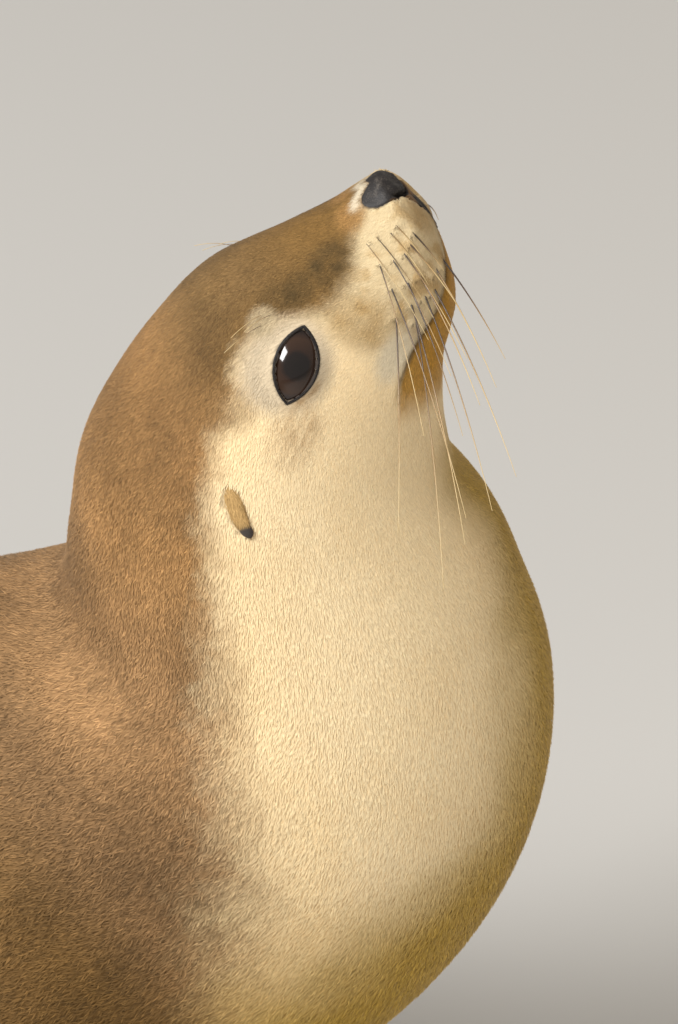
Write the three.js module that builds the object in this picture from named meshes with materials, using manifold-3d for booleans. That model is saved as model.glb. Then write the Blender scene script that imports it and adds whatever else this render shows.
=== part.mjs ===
import * as THREE from "three";
import { mergeVertices } from "three/addons/utils/BufferGeometryUtils.js";
import Module from "manifold-3d";

// An adult female Australian sea lion, life size, sitting with its neck raised and its nose lifted.
// Millimetres, +Z up. The trunk faces -Y, +X is the animal's left, and the floor is Z = 0.

const wasm = await Module();
wasm.setup();

// ---------------------------------------------------------------- driving dimensions
const GAP = 0.4; // between neighbouring pieces

const HEAD_PITCH = 58; // degrees above level
const HEAD_YAW = 22; // degrees the head is turned to the animal's left
const NOSE_HEIGHT = 797; // from the floor to the start of the spine

// The head, neck and trunk are one tube round a spine that starts at the nose. Each row is a cross-section
// `at` this distance along it. `pitch` and `yaw` aim the spine forwards. `top` and `bottom` are measured from
// it, `waist` is the level where the section is widest and `wide` the half width there. `crown` and `keel`
// set the roundness of the upper and the lower half, where 2 is an ellipse.
const BODY = [
  { at: 0, pitch: 58, yaw: 22, top: 5, bottom: -30, waist: -13, wide: 15, crown: 1.8, keel: 2.1 },
  { at: 3, pitch: 58, yaw: 22, top: 9, bottom: -39, waist: -18, wide: 26, crown: 1.7, keel: 2.2 },
  { at: 9, pitch: 58, yaw: 22, top: 12, bottom: -50, waist: -23, wide: 35, crown: 1.6, keel: 2.3 },
  { at: 18, pitch: 58, yaw: 22, top: 16, bottom: -60, waist: -26, wide: 42, crown: 1.6, keel: 2.4 },
  { at: 32, pitch: 58, yaw: 22, top: 23, bottom: -67, waist: -26, wide: 46, crown: 1.7, keel: 2.5 },
  { at: 50, pitch: 58, yaw: 22, top: 38, bottom: -72, waist: -24, wide: 47, crown: 1.8, keel: 2.4 },
  { at: 70, pitch: 58, yaw: 22, top: 54, bottom: -79, waist: -20, wide: 49, crown: 1.9, keel: 2.2 },
  { at: 90, pitch: 58, yaw: 22, top: 63, bottom: -91, waist: -15, wide: 56, crown: 2.1, keel: 2.1 },
  { at: 112, pitch: 59, yaw: 22, top: 67, bottom: -105, waist: -14, wide: 67, crown: 2.2, keel: 2.1 },
  { at: 138, pitch: 60, yaw: 22, top: 69, bottom: -127, waist: -16, wide: 79, crown: 2.2, keel: 2.1 },
  { at: 168, pitch: 66, yaw: 22, top: 74, bottom: -155, waist: -24, wide: 90, crown: 2.1, keel: 2.1 },
  { at: 205, pitch: 74, yaw: 21, top: 79, bottom: -172, waist: -40, wide: 100, crown: 2.1, keel: 2.1 },
  { at: 250, pitch: 80, yaw: 20, top: 76, bottom: -189, waist: -56, wide: 111, crown: 2.1, keel: 2.1 },
  { at: 300, pitch: 78, yaw: 18, top: 78, bottom: -216, waist: -68, wide: 122, crown: 2.1, keel: 2.1 },
  { at: 345, pitch: 63, yaw: 15, top: 110, bottom: -239, waist: -74, wide: 132, crown: 2.1, keel: 2.1 },
  { at: 390, pitch: 47, yaw: 12, top: 124, bottom: -247, waist: -66, wide: 141, crown: 2.1, keel: 2.1 },
  { at: 440, pitch: 38, yaw: 8, top: 131, bottom: -239, waist: -56, wide: 150, crown: 2.1, keel: 2.1 },
  { at: 510, pitch: 34, yaw: 4, top: 134, bottom: -225, waist: -44, wide: 161, crown: 2.1, keel: 2.1 },
  { at: 600, pitch: 33, yaw: 1, top: 136, bottom: -209, waist: -30, wide: 171, crown: 2.1, keel: 2.1 },
  { at: 720, pitch: 31, yaw: 0, top: 140, bottom: -192, waist: -22, wide: 178, crown: 2.1, keel: 2.1 },
  { at: 860, pitch: 24, yaw: 0, top: 144, bottom: -172, waist: -18, wide: 176, crown: 2.1, keel: 2.2 },
  { at: 1010, pitch: 15, yaw: 0, top: 132, bottom: -148, waist: -16, wide: 164, crown: 2.1, keel: 2.3 },
  { at: 1150, pitch: 8, yaw: 0, top: 110, bottom: -121, waist: -14, wide: 142, crown: 2.1, keel: 2.3 },
  { at: 1270, pitch: 5, yaw: 0, top: 86, bottom: -98, waist: -10, wide: 114, crown: 2.1, keel: 2.2 },
  { at: 1360, pitch: 6, yaw: 0, top: 62, bottom: -72, waist: -6, wide: 82, crown: 2, keel: 2 },
  { at: 1425, pitch: 8, yaw: 0, top: 38, bottom: -40, waist: -3, wide: 46, crown: 2, keel: 2 },
  { at: 1455, pitch: 12, yaw: 0, top: 19, bottom: -20, waist: 0, wide: 26, crown: 2, keel: 2 },
  { at: 1510, pitch: 14, yaw: 0, top: 12, bottom: -11, waist: 0, wide: 20, crown: 2, keel: 2 },
  { at: 1535, pitch: 14, yaw: 0, top: 4, bottom: -4, waist: 0, wide: 9, crown: 2, keel: 2 },
];
const BODY_SIDES = 32;
const TAIL_SIDES = 16;

// Where one length of the tube ends and the next begins.
const MUZZLE_END = 66;
const HEAD_END = 228;
const NECK_END = 470;
const CHEST_END = 790;
const BELLY_END = 1110;
const RUMP_END = 1425;

const NOSE_LEAN = 0.25; // how far the nose overhangs the lip, per mm of height
const NOSE_LEAN_REACH = 60; // the overhang has faded out this far behind the nose
const NOSE_TURN = 6; // the nose is turned this far to the animal's left
const NOSE_TURN_REACH = 75; // and the turn has faded out this far behind it

const EYE_RADIUS = 21;
const EYE = { behind: 103, height: 10, side: 38.5 };
const EYE_AIM = { forward: 0.42, up: 0.24, side: 0.87 };
const LID_THICKNESS = 2.2;
const EYE_SLIT = { length: 43, height: 25, along: { forward: 0.86, up: 0.18, side: -0.47 } };

const NOSE_PAD = { width: 32, height: 26, depth: 13, middle: 2 };
const NOSTRIL = { side: 8, height: -8, length: 18, width: 5, roll: 48 };

// The mouth seen from the side, in mm behind the nose and above the spine, from the front of the lips.
const MOUTH_LINE = [[4, -33], [14, -42], [24, -46], [40, -47], [62, -47], [80, -49], [96, -54]];
const MOUTH_OPENING = 0.8;
const JAW_INSET = 1.5; // the lower lip sits this far inside the upper one

const EAR = { behind: 170, height: 15, side: 77, length: 30, radius: 5.2 };
const EAR_AIM = { forward: -0.62, up: -0.66, side: 0.54 };

// Each flipper is a blade along a row of places, measured outwards and backwards from the trunk's midline at
// the shoulder or the hip, and up from the floor. `wide` and `thick` are halves, and `across` is the way the
// blade's width points, in degrees from straight back towards straight inwards.
const SHOULDER_AT = 575;
const FORE_FLIPPER = [
  { out: 96, back: 10, up: 262, wide: 58, thick: 30, across: 8 },
  { out: 132, back: 4, up: 214, wide: 60, thick: 28, across: 8 },
  { out: 160, back: -6, up: 158, wide: 60, thick: 24, across: 8 },
  { out: 180, back: -14, up: 104, wide: 62, thick: 21, across: 12 },
  { out: 196, back: -16, up: 58, wide: 66, thick: 18, across: 20 },
  { out: 215, back: -8, up: 26, wide: 73, thick: 14, across: 30 },
  { out: 244, back: 12, up: 11, wide: 80, thick: 11, across: 38 },
  { out: 280, back: 40, up: 6.5, wide: 82, thick: 8, across: 42 },
  { out: 320, back: 74, up: 5, wide: 77, thick: 6.5, across: 46 },
  { out: 356, back: 108, up: 3.4, wide: 66, thick: 4.6, across: 50 },
  { out: 384, back: 138, up: 2.2, wide: 48, thick: 3, across: 54 },
  { out: 402, back: 160, up: 1.6, wide: 26, thick: 2, across: 58 },
];
const HIP_AT = 1360;
const HIND_FLIPPER = [
  { out: 34, back: 10, up: 62, wide: 32, thick: 30, across: -20 },
  { out: 72, back: 18, up: 54, wide: 33, thick: 27, across: -20 },
  { out: 108, back: 10, up: 38, wide: 35, thick: 22, across: -34 },
  { out: 138, back: -14, up: 22, wide: 39, thick: 17, across: -50 },
  { out: 160, back: -50, up: 11, wide: 44, thick: 12, across: -60 },
  { out: 180, back: -96, up: 6.5, wide: 52, thick: 8, across: -65 },
  { out: 200, back: -146, up: 4.4, wide: 61, thick: 5.6, across: -68 },
  { out: 218, back: -196, up: 2.8, wide: 68, thick: 3.8, across: -70 },
  { out: 232, back: -238, up: 1.8, wide: 68, thick: 2.4, across: -72 },
];
const FORE_SCALLOP = { toes: 5, depth: 7 };
const HIND_SCALLOP = { toes: 5, depth: 22 };
const BLADE_EDGE = 0.9; // half thickness of the thin edge
const TOES_PART_FROM = 0.6; // how far down the blade the toes start to part
const CLAW = { station: 7.4, spacing: 0.4, length: 15, width: 5, thick: 3.4, lift: 0.3 };

// ---------------------------------------------------------------- the spine and the skin
const { degToRad, lerp, smoothstep } = THREE.MathUtils;
const vector = (x, y, z) => new THREE.Vector3(x, y, z);

// A smooth curve through rows of numbers, sampled at any `at`, which is the row's number if it states none.
function curveThrough(rows) {
  const names = Object.keys(rows[0]);
  const places = rows.map((row, i) => row.at ?? i);
  const values = rows.flatMap((row) => names.map((name) => row[name]));
  const curve = new THREE.CubicInterpolant(places, values, names.length);
  return (distance) => {
    const found = curve.evaluate(distance);
    return Object.fromEntries(names.map((name, i) => [name, found[i]]));
  };
}

const sectionAt = curveThrough(BODY);

// The animal's own directions where the spine has this pitch and yaw.
function directions({ pitch, yaw }) {
  const p = degToRad(pitch);
  const y = degToRad(yaw);
  const heading = vector(Math.sin(y), -Math.cos(y), 0);
  return {
    forward: heading.clone().multiplyScalar(Math.cos(p)).setZ(Math.sin(p)),
    up: heading.clone().multiplyScalar(-Math.sin(p)).setZ(Math.cos(p)),
    left: vector(Math.cos(y), Math.sin(y), 0),
  };
}

// The spine, as points 1 mm apart from the nose back.
const spine = [vector(0, 0, NOSE_HEIGHT)];
for (let at = 0; at < BODY.at(-1).at; at++) {
  spine.push(spine[at].clone().addScaledVector(directions(sectionAt(at + 0.5)).forward, -1));
}

function spineAt(at) {
  const before = Math.min(Math.floor(at), spine.length - 2);
  return spine[before].clone().lerp(spine[before + 1], at - before);
}

const signedPower = (value, exponent) => Math.sign(value) * Math.abs(value) ** exponent;

// A point on the body. `turn` is 0 on the back, a quarter on the animal's left and a half on the belly.
function skinPoint(at, turn, grow = 0) {
  const section = sectionAt(at);
  const { forward, up, left } = directions(section);
  const cos = Math.cos(turn * 2 * Math.PI);
  const sin = Math.sin(turn * 2 * Math.PI);
  const roundness = cos > 0 ? section.crown : section.keel;
  const reach = grow + (cos > 0 ? section.top - section.waist : section.waist - section.bottom);
  const height = section.waist + reach * signedPower(cos, 2 / roundness);
  const noseTurn = NOSE_TURN * (1 - smoothstep(at, 0, NOSE_TURN_REACH));
  const side = (section.wide + grow) * signedPower(sin, 2 / roundness) + noseTurn;
  const overhang = NOSE_LEAN * (height + 8) * (1 - smoothstep(at, 0, NOSE_LEAN_REACH));
  const middle = spineAt(at).addScaledVector(forward, overhang);
  return middle.addScaledVector(up, height).addScaledVector(left, side);
}

// ---------------------------------------------------------------- making and cutting solids
function solidOf(geometry) {
  const bare = geometry.clone();
  bare.deleteAttribute("normal");
  bare.deleteAttribute("uv");
  const merged = mergeVertices(bare, 1e-4);
  return new wasm.Manifold(
    new wasm.Mesh({
      numProp: 3,
      vertProperties: new Float32Array(merged.attributes.position.array),
      triVerts: new Uint32Array(merged.index.array),
    }),
  );
}

function geometryOf(solid) {
  const { numProp, vertProperties, triVerts } = solid.getMesh();
  const points = [];
  for (let i = 0; i < vertProperties.length; i += numProp) {
    points.push(vector(vertProperties[i], vertProperties[i + 1], vertProperties[i + 2]));
  }
  return new THREE.BufferGeometry().setFromPoints(points).setIndex(Array.from(triVerts));
}

// A closed surface over rings of points, with flat ends. Seen along the row of rings, each goes clockwise.
function skinOver(rings) {
  const sides = rings[0].length;
  const lastRing = (rings.length - 1) * sides;
  const faces = [];
  for (let j = 0; j < sides; j++) {
    const next = (j + 1) % sides;
    for (let row = 0; row < lastRing; row += sides) {
      faces.push(row + j, row + next, row + sides + j);
      faces.push(row + next, row + sides + next, row + sides + j);
    }
  }
  for (let j = 0; j + 1 < sides / 2; j++) {
    const opposite = sides - 1 - j;
    faces.push(j, opposite, j + 1, j + 1, opposite, opposite - 1);
    faces.push(lastRing + j, lastRing + j + 1, lastRing + opposite);
    faces.push(lastRing + j + 1, lastRing + opposite - 1, lastRing + opposite);
  }
  return solidOf(new THREE.BufferGeometry().setFromPoints(rings.flat()).setIndex(faces));
}

function bodyLength(from, to, steps, { sides = BODY_SIDES, grow = 0 } = {}) {
  const rings = [];
  for (let i = 0; i <= steps; i++) {
    const at = lerp(from, to, i / steps);
    rings.push(Array.from({ length: sides }, (_, j) => skinPoint(at, j / sides, grow)));
  }
  return skinOver(rings);
}

const ROOM = 3 * NOSE_HEIGHT;
const aboveFloor = solidOf(new THREE.BoxGeometry(ROOM, 2 * ROOM, ROOM).translate(0, 0, ROOM / 2));

const root = new THREE.Group();

function add(name, solid, look) {
  const material = new THREE.MeshStandardMaterial({ metalness: 0, ...look });
  const mesh = new THREE.Mesh(geometryOf(solid), material);
  mesh.name = name;
  root.add(mesh);
}

const FUR = { color: 0xb49a70, roughness: 0.85 };
const BARE_SKIN = { color: 0x3a3230, roughness: 0.6 };
const EYE_LOOK = { color: 0x1c1210, roughness: 0.08 };
const NAIL = { color: 0x4a4038, roughness: 0.5 };
const SIDES = { left: -1, right: 1 };

// ---------------------------------------------------------------- the head
// On the head, x runs behind the nose, y to the animal's right and z up through the crown.
const facing = directions({ pitch: HEAD_PITCH, yaw: HEAD_YAW });
const headFrame = new THREE.Matrix4()
  .makeBasis(facing.forward.negate(), facing.left.negate(), facing.up)
  .setPosition(spine[0]);

const onHead = (geometry) => solidOf(geometry.applyMatrix4(headFrame));

// Turns a shape drawn in x and y, and standing along z, to lie along `along` and stand along `facing`.
function turned(along, outwards) {
  const z = outwards.clone().normalize();
  const y = z.clone().cross(along).normalize();
  return new THREE.Matrix4().makeBasis(y.clone().cross(z), y, z);
}

const extruded = (shape, depth, curveSegments) =>
  new THREE.ExtrudeGeometry(shape, { depth, bevelEnabled: false, curveSegments });

// The jaw is what lies under the line of the mouth, lowered by `drop` and stopped `shy` of the cheeks.
function underMouth(drop, shy) {
  const far = 160;
  const back = MOUTH_LINE.at(-1)[0] + 5 - shy;
  const line = MOUTH_LINE.map(([behind, height]) => new THREE.Vector2(Math.min(behind, back), height - drop));
  const lips = line[0].clone().setX(-far);
  const cheek = line.at(-1).clone().setX(back);
  const outline = [lips, ...line, cheek, new THREE.Vector2(back, -far), new THREE.Vector2(-far, -far)];
  const prism = extruded(new THREE.Shape(outline.reverse()), 2 * far, 1);
  return onHead(prism.rotateX(Math.PI / 2).translate(0, far, 0));
}

// The bare pad is wide above the nostrils and narrows to the cleft of the lip.
function nosePadBlock(grow) {
  const half = NOSE_PAD.width / 2 + grow;
  const top = NOSE_PAD.middle + NOSE_PAD.height / 2 + grow;
  const bottom = NOSE_PAD.middle - NOSE_PAD.height - grow;
  const cleft = 2 + grow;
  const shape = new THREE.Shape()
    .moveTo(-cleft, bottom)
    .lineTo(cleft, bottom)
    .bezierCurveTo(cleft, bottom + 12, half * 0.8, bottom + 12, half, NOSE_PAD.middle)
    .bezierCurveTo(half, top, half * 0.5, top, 0, top)
    .bezierCurveTo(-half * 0.5, top, -half, top, -half, NOSE_PAD.middle)
    .bezierCurveTo(-half * 0.8, bottom + 12, -cleft, bottom + 12, -cleft, bottom);
  const reach = 40;
  const block = extruded(shape, reach, 3);
  block.applyMatrix4(new THREE.Matrix4().makeBasis(vector(0, 1, 0), vector(0, 0, 1), vector(1, 0, 0)));
  return onHead(block.translate(NOSE_PAD.depth + grow - reach, -NOSE_TURN, 0));
}

function nostril(side) {
  const slit = new THREE.SphereGeometry(1, 8, 6).scale(9, NOSTRIL.width / 2, NOSTRIL.length / 2);
  slit.rotateX(-side * degToRad(NOSTRIL.roll));
  return onHead(slit.translate(-4, side * NOSTRIL.side - NOSE_TURN, NOSTRIL.height));
}

const eyePlace = (side) => [EYE.behind, side * EYE.side, EYE.height];
const eyeBall = (side, radius) =>
  onHead(new THREE.SphereGeometry(radius, 14, 9).translate(...eyePlace(side)));

// The opening between the lids: pointed at both corners, and looking out along the eye's own axis.
function eyeSlit(side) {
  const half = EYE_SLIT.length / 2;
  const bulge = EYE_SLIT.height * 0.68;
  const shape = new THREE.Shape()
    .moveTo(-half, 0)
    .bezierCurveTo(-half * 0.5, -bulge, half * 0.5, -bulge, half, 0)
    .bezierCurveTo(half * 0.5, bulge, -half * 0.5, bulge, -half, 0);
  const outwards = vector(-EYE_AIM.forward, side * EYE_AIM.side, EYE_AIM.up);
  const along = vector(-EYE_SLIT.along.forward, side * EYE_SLIT.along.side, EYE_SLIT.along.up);
  const slit = extruded(shape, 2 * EYE_RADIUS, 6).applyMatrix4(turned(along, outwards));
  return onHead(slit.translate(...eyePlace(side)));
}

// A small rolled ear, hanging back and down from its root.
function ear(side) {
  const { length, radius } = EAR;
  const profile = [[0, -4], [0.8, -4], [1, 6], [0.95, 0.5 * length], [0.6, 0.85 * length], [0, length]];
  const points = profile.map(([r, y]) => new THREE.Vector2(r * radius, y));
  const outwards = vector(-EAR_AIM.forward, side * EAR_AIM.side, EAR_AIM.up).normalize();
  const hang = new THREE.Quaternion().setFromUnitVectors(vector(0, 1, 0), outwards);
  const cone = new THREE.LatheGeometry(points, 12).applyQuaternion(hang);
  return onHead(cone.translate(EAR.behind, side * EAR.side, EAR.height));
}

const mouth = underMouth(0, 0);
const slits = nostril(-1).add(nostril(1));
const face = bodyLength(0, MUZZLE_END - GAP, 10);
const nose = face.intersect(nosePadBlock(0)).subtract(slits);
const muzzle = face.subtract(nosePadBlock(GAP));
const sockets = eyeBall(-1, EYE_RADIUS + GAP).add(eyeBall(1, EYE_RADIUS + GAP));
const lids = eyeBall(-1, EYE_RADIUS + LID_THICKNESS).add(eyeBall(1, EYE_RADIUS + LID_THICKNESS));
const head = bodyLength(MUZZLE_END, HEAD_END - GAP, 11).add(lids);
const jaw = bodyLength(2, MOUTH_LINE.at(-1)[0] + 20, 12, { grow: -JAW_INSET });

add("nose", nose, BARE_SKIN);
add("muzzle", muzzle.subtract(slits).subtract(mouth), FUR);
add("head", head.subtract(sockets).subtract(eyeSlit(-1)).subtract(eyeSlit(1)).subtract(mouth), FUR);
add("lower_jaw", jaw.intersect(underMouth(MOUTH_OPENING, GAP)), FUR);

for (const [name, side] of Object.entries(SIDES)) {
  add("eye_" + name, eyeBall(side, EYE_RADIUS), EYE_LOOK);
  add("ear_" + name, ear(side).subtract(bodyLength(MUZZLE_END, HEAD_END, 11, { grow: GAP })), FUR);
}

// ---------------------------------------------------------------- the neck and the trunk
const trunk = {
  neck: bodyLength(HEAD_END, NECK_END - GAP, 9),
  chest: bodyLength(NECK_END, CHEST_END - GAP, 8),
  belly: bodyLength(CHEST_END, BELLY_END - GAP, 7),
  rump: bodyLength(BELLY_END, RUMP_END - GAP, 8),
  tail: bodyLength(RUMP_END, BODY.at(-1).at, 6, { sides: TAIL_SIDES }),
};
for (const [name, solid] of Object.entries(trunk)) {
  add(name, solid.intersect(aboveFloor), FUR);
}

// ---------------------------------------------------------------- the flippers
// How far round one toe a place across the blade is: 0 in the clefts and 1 along the middle of a toe.
const toeCrest = (across, toes) => Math.abs(Math.sin(((across + 1) / 2) * toes * Math.PI));

// A blade is described for the left side and mirrored for the right.
function bladeAt(stations, originAt, side) {
  const origin = spineAt(originAt).setZ(0);
  const along = curveThrough(stations);
  const placeAt = (t) => {
    const { out, back, up } = along(t);
    return vector(-side * out, back, up).add(origin);
  };
  return (t) => {
    const { wide, thick, across } = along(t);
    const heading = degToRad(across);
    const path = placeAt(t + 0.01).sub(placeAt(t - 0.01)).normalize();
    const width = vector(side * Math.sin(heading), Math.cos(heading), 0);
    width.addScaledVector(path, -width.dot(path)).normalize();
    return { place: placeAt(t), path, width, face: width.clone().cross(path), wide, thick };
  };
}

function blade(stations, originAt, side, { toes, depth, steps, cells }) {
  const sample = bladeAt(stations, originAt, side);
  const rings = [];
  for (let i = 0; i <= steps; i++) {
    const { place, path, width, face, wide, thick } = sample((i / steps) * (stations.length - 1));
    const parting = smoothstep(i / steps, TOES_PART_FROM, 1);
    const surface = (j, way) => {
      const u = (2 * j) / cells - 1;
      const crest = toeCrest(u, toes);
      const swell = Math.sqrt(1 - u * u) * (1 - 0.3 * parting * (1 - crest));
      return place
        .clone()
        .addScaledVector(width, u * wide)
        .addScaledVector(path, parting * depth * crest)
        .addScaledVector(face, way * Math.max(BLADE_EDGE, thick * swell));
    };
    const top = Array.from({ length: cells + 1 }, (_, j) => surface(j, 1));
    const under = Array.from({ length: cells + 1 }, (_, j) => surface(cells - j, -1));
    rings.push([...top, ...under]);
  }
  return skinOver(rings).intersect(aboveFloor);
}

// The nails lie on the upper face of the three middle toes, well short of the tips.
function claws(side, grow) {
  const sample = bladeAt(HIND_FLIPPER, HIP_AT, side);
  const { place, path, width, face, wide, thick } = sample(CLAW.station);
  const upwards = face.z > 0 ? face : face.clone().negate();
  return [-1, 0, 1].map((toe) => {
    const ball = new THREE.SphereGeometry(1, 8, 5);
    ball.scale(CLAW.length / 2 + grow, CLAW.width / 2 + grow, CLAW.thick / 2 + grow);
    const at = place.clone().addScaledVector(width, toe * CLAW.spacing * wide);
    at.addScaledVector(upwards, thick + CLAW.lift);
    return solidOf(ball.applyMatrix4(turned(path, upwards).setPosition(at)));
  });
}

const chestShell = bodyLength(NECK_END - 60, CHEST_END + 60, 15, { grow: GAP });
const rumpShell = bodyLength(BELLY_END, BODY.at(-1).at - 1, 16, { grow: GAP });
for (const [name, side] of Object.entries(SIDES)) {
  const fore = blade(FORE_FLIPPER, SHOULDER_AT, side, { ...FORE_SCALLOP, steps: 14, cells: 8 });
  add("fore_flipper_" + name, fore.subtract(chestShell), BARE_SKIN);

  const hind = blade(HIND_FLIPPER, HIP_AT, side, { ...HIND_SCALLOP, steps: 12, cells: 10 });
  const bedded = claws(side, GAP).reduce((rest, bed) => rest.subtract(bed), hind.subtract(rumpShell));
  add("hind_flipper_" + name, bedded, BARE_SKIN);
  claws(side, 0).forEach((claw, i) => add("claw_" + name + "_" + (i + 2), claw, NAIL));
}

// Stand the middle of the model's footprint on the origin.
const size = new THREE.Box3().setFromObject(root);
root.position.x = -(size.min.x + size.max.x) / 2;
root.position.y = -(size.min.y + size.max.y) / 2;

export default root;
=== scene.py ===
import math

import bpy
import numpy as np
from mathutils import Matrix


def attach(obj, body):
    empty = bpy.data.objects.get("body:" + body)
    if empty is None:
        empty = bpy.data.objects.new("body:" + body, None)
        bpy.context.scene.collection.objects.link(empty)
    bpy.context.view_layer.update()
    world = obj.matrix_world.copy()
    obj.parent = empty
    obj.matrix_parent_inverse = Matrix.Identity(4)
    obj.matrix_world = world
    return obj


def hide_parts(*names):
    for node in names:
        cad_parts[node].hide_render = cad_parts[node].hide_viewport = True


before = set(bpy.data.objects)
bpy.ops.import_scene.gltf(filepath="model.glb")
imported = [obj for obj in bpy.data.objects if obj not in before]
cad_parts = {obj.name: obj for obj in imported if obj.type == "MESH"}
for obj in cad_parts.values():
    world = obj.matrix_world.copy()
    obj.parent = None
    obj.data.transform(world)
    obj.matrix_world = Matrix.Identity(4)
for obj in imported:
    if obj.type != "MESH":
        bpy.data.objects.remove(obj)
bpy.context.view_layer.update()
rng = np.random.default_rng(11)

# Tables and lengths are in millimetres; meshPiece() turns them into metres.
mm = 0.001
standing = np.array([68.0737, -551.6757, 0.0])  # from the spine's own frame to the model's


def deselectAll():
    bpy.ops.object.select_all(action="DESELECT")


def blend(low, high, share):
    return low + (high - low) * share


def smoothStep(value, start, end):
    share = np.clip((value - start) / (end - start), 0, 1)
    return share * share * (3 - 2 * share)


def hump(value, centre, width):
    return np.exp(-((value - centre) / width) ** 2)


def unit(vectors):
    vectors = np.asarray(vectors, float)
    return vectors / np.maximum(np.linalg.norm(vectors, axis=-1, keepdims=True), 1e-9)


# camera
view = {
    "place": (-3242.4, -1226.1, 2946.2),
    "azimuth": -78.0,
    "elevation": 35.0,
    "lens": 255.7,
    "clipNear": 0.5,
    "clipFar": 60.0,
}


def addCamera():
    bpy.ops.object.camera_add(location=[v * mm for v in view["place"]])
    camera = bpy.context.object
    camera.name = "camera"
    camera.rotation_euler = (
        math.radians(90 - view["elevation"]), 0, math.radians(view["azimuth"]))
    camera.data.sensor_fit = "VERTICAL"
    camera.data.sensor_height = 36
    camera.data.sensor_width = 36
    camera.data.lens = view["lens"]
    camera.data.clip_start = view["clipNear"]
    camera.data.clip_end = view["clipFar"]
    bpy.context.scene.camera = camera


addCamera()
print("camera placed")

# the body, as in the CAD: one tube round a spine that starts at the nose
# at, pitch, yaw, top, bottom, waist, wide, crown, keel
bodyRows = [
    (0, 58, 22, 5, -30, -13, 15, 1.8, 2.1), (3, 58, 22, 9, -39, -18, 26, 1.7, 2.2),
    (9, 58, 22, 12, -50, -23, 35, 1.6, 2.3), (18, 58, 22, 16, -60, -26, 42, 1.6, 2.4),
    (32, 58, 22, 23, -67, -26, 46, 1.7, 2.5), (50, 58, 22, 38, -72, -24, 47, 1.8, 2.4),
    (70, 58, 22, 54, -79, -20, 49, 1.9, 2.2), (90, 58, 22, 63, -91, -15, 56, 2.1, 2.1),
    (112, 59, 22, 67, -105, -14, 67, 2.2, 2.1), (138, 60, 22, 69, -127, -16, 79, 2.2, 2.1),
    (168, 66, 22, 74, -155, -24, 90, 2.1, 2.1), (205, 74, 21, 79, -172, -40, 100, 2.1, 2.1),
    (250, 80, 20, 76, -189, -56, 111, 2.1, 2.1), (300, 78, 18, 78, -216, -68, 122, 2.1, 2.1),
    (345, 63, 15, 110, -239, -74, 132, 2.1, 2.1), (390, 47, 12, 124, -247, -66, 141, 2.1, 2.1),
    (440, 38, 8, 131, -239, -56, 150, 2.1, 2.1), (510, 34, 4, 134, -225, -44, 161, 2.1, 2.1),
    (600, 33, 1, 136, -209, -30, 171, 2.1, 2.1), (720, 31, 0, 140, -192, -22, 178, 2.1, 2.1),
    (860, 24, 0, 144, -172, -18, 176, 2.1, 2.2), (1010, 15, 0, 132, -148, -16, 164, 2.1, 2.3),
    (1150, 8, 0, 110, -121, -14, 142, 2.1, 2.3), (1270, 5, 0, 86, -98, -10, 114, 2.1, 2.2),
    (1360, 6, 0, 62, -72, -6, 82, 2, 2), (1425, 8, 0, 38, -40, -3, 46, 2, 2),
    (1455, 12, 0, 19, -20, 0, 26, 2, 2), (1510, 14, 0, 12, -11, 0, 20, 2, 2),
    (1535, 14, 0, 4, -4, 0, 9, 2, 2),
]
body = {
    "noseHeight": 797,
    "noseLean": 0.25, "leanFrom": -8, "leanReach": 60,  # the nose leans forwards above this height
    "noseTurn": 6, "turnReach": 75,  # the nose is turned this far to the animal's left
    "columns": 200, "sideCrowding": 0.35,  # how much closer the columns stand along the flanks
    # the rows stand this far apart, up to each distance behind the nose
    "rowSteps": [(0, 1.2), (132, 2.0), (232, 4.5), (470, 8.5), (1425, 6.0), (1535, 0)],
    "faceEnd": 215,  # the face is carved up to here
    # the rings that round off the front, as shares of the first row, and how far they bulge
    "frontRings": [0.0, 0.25, 0.48, 0.67, 0.82, 0.92, 0.975], "frontBulge": 1.6,
    "skinFloor": 0.9,  # the skin stays this far above the floor, with the coat under it
}


def curveThrough(rows, places=None):
    rows = np.array(rows, float)
    places = np.arange(len(rows), dtype=float) if places is None else np.array(places, float)
    last = len(places) - 1

    def evaluate(distance):
        d = np.clip(np.asarray(distance, float), places[0], places[-1])
        after = np.clip(np.searchsorted(places, d, side="right"), 1, last)
        before = after - 1
        t0, t1 = places[before], places[after]
        half = (t1 - t0) / 2
        previous = np.where(before > 0, before - 1, after)
        following = np.where(after < last, after + 1, before)
        weightBack = (half / (t0 - places[previous]))[..., None]
        weightOn = (half / (places[following] - t1))[..., None]
        p = ((d - t0) / (t1 - t0))[..., None]
        pp, ppp = p * p, p * p * p
        return (
            (-weightBack * ppp + 2 * weightBack * pp - weightBack * p) * rows[previous]
            + ((1 + weightBack) * ppp + (-1.5 - 2 * weightBack) * pp + (weightBack - 0.5) * p + 1)
            * rows[before]
            + ((-1 - weightOn) * ppp + (1.5 + weightOn) * pp + 0.5 * p) * rows[after]
            + (weightOn * ppp - weightOn * pp) * rows[following]
        )

    return evaluate


sectionAt = curveThrough([row[1:] for row in bodyRows], [row[0] for row in bodyRows])
bodyEnd = bodyRows[-1][0]


def directions(pitch, yaw):
    p, y = np.radians(pitch), np.radians(yaw)
    none = np.zeros_like(p)
    forward = np.stack([np.sin(y) * np.cos(p), -np.cos(y) * np.cos(p), np.sin(p)], -1)
    up = np.stack([-np.sin(y) * np.sin(p), np.cos(y) * np.sin(p), np.cos(p)], -1)
    left = np.stack([np.cos(y), np.sin(y), none], -1)
    return forward, up, left


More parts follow.
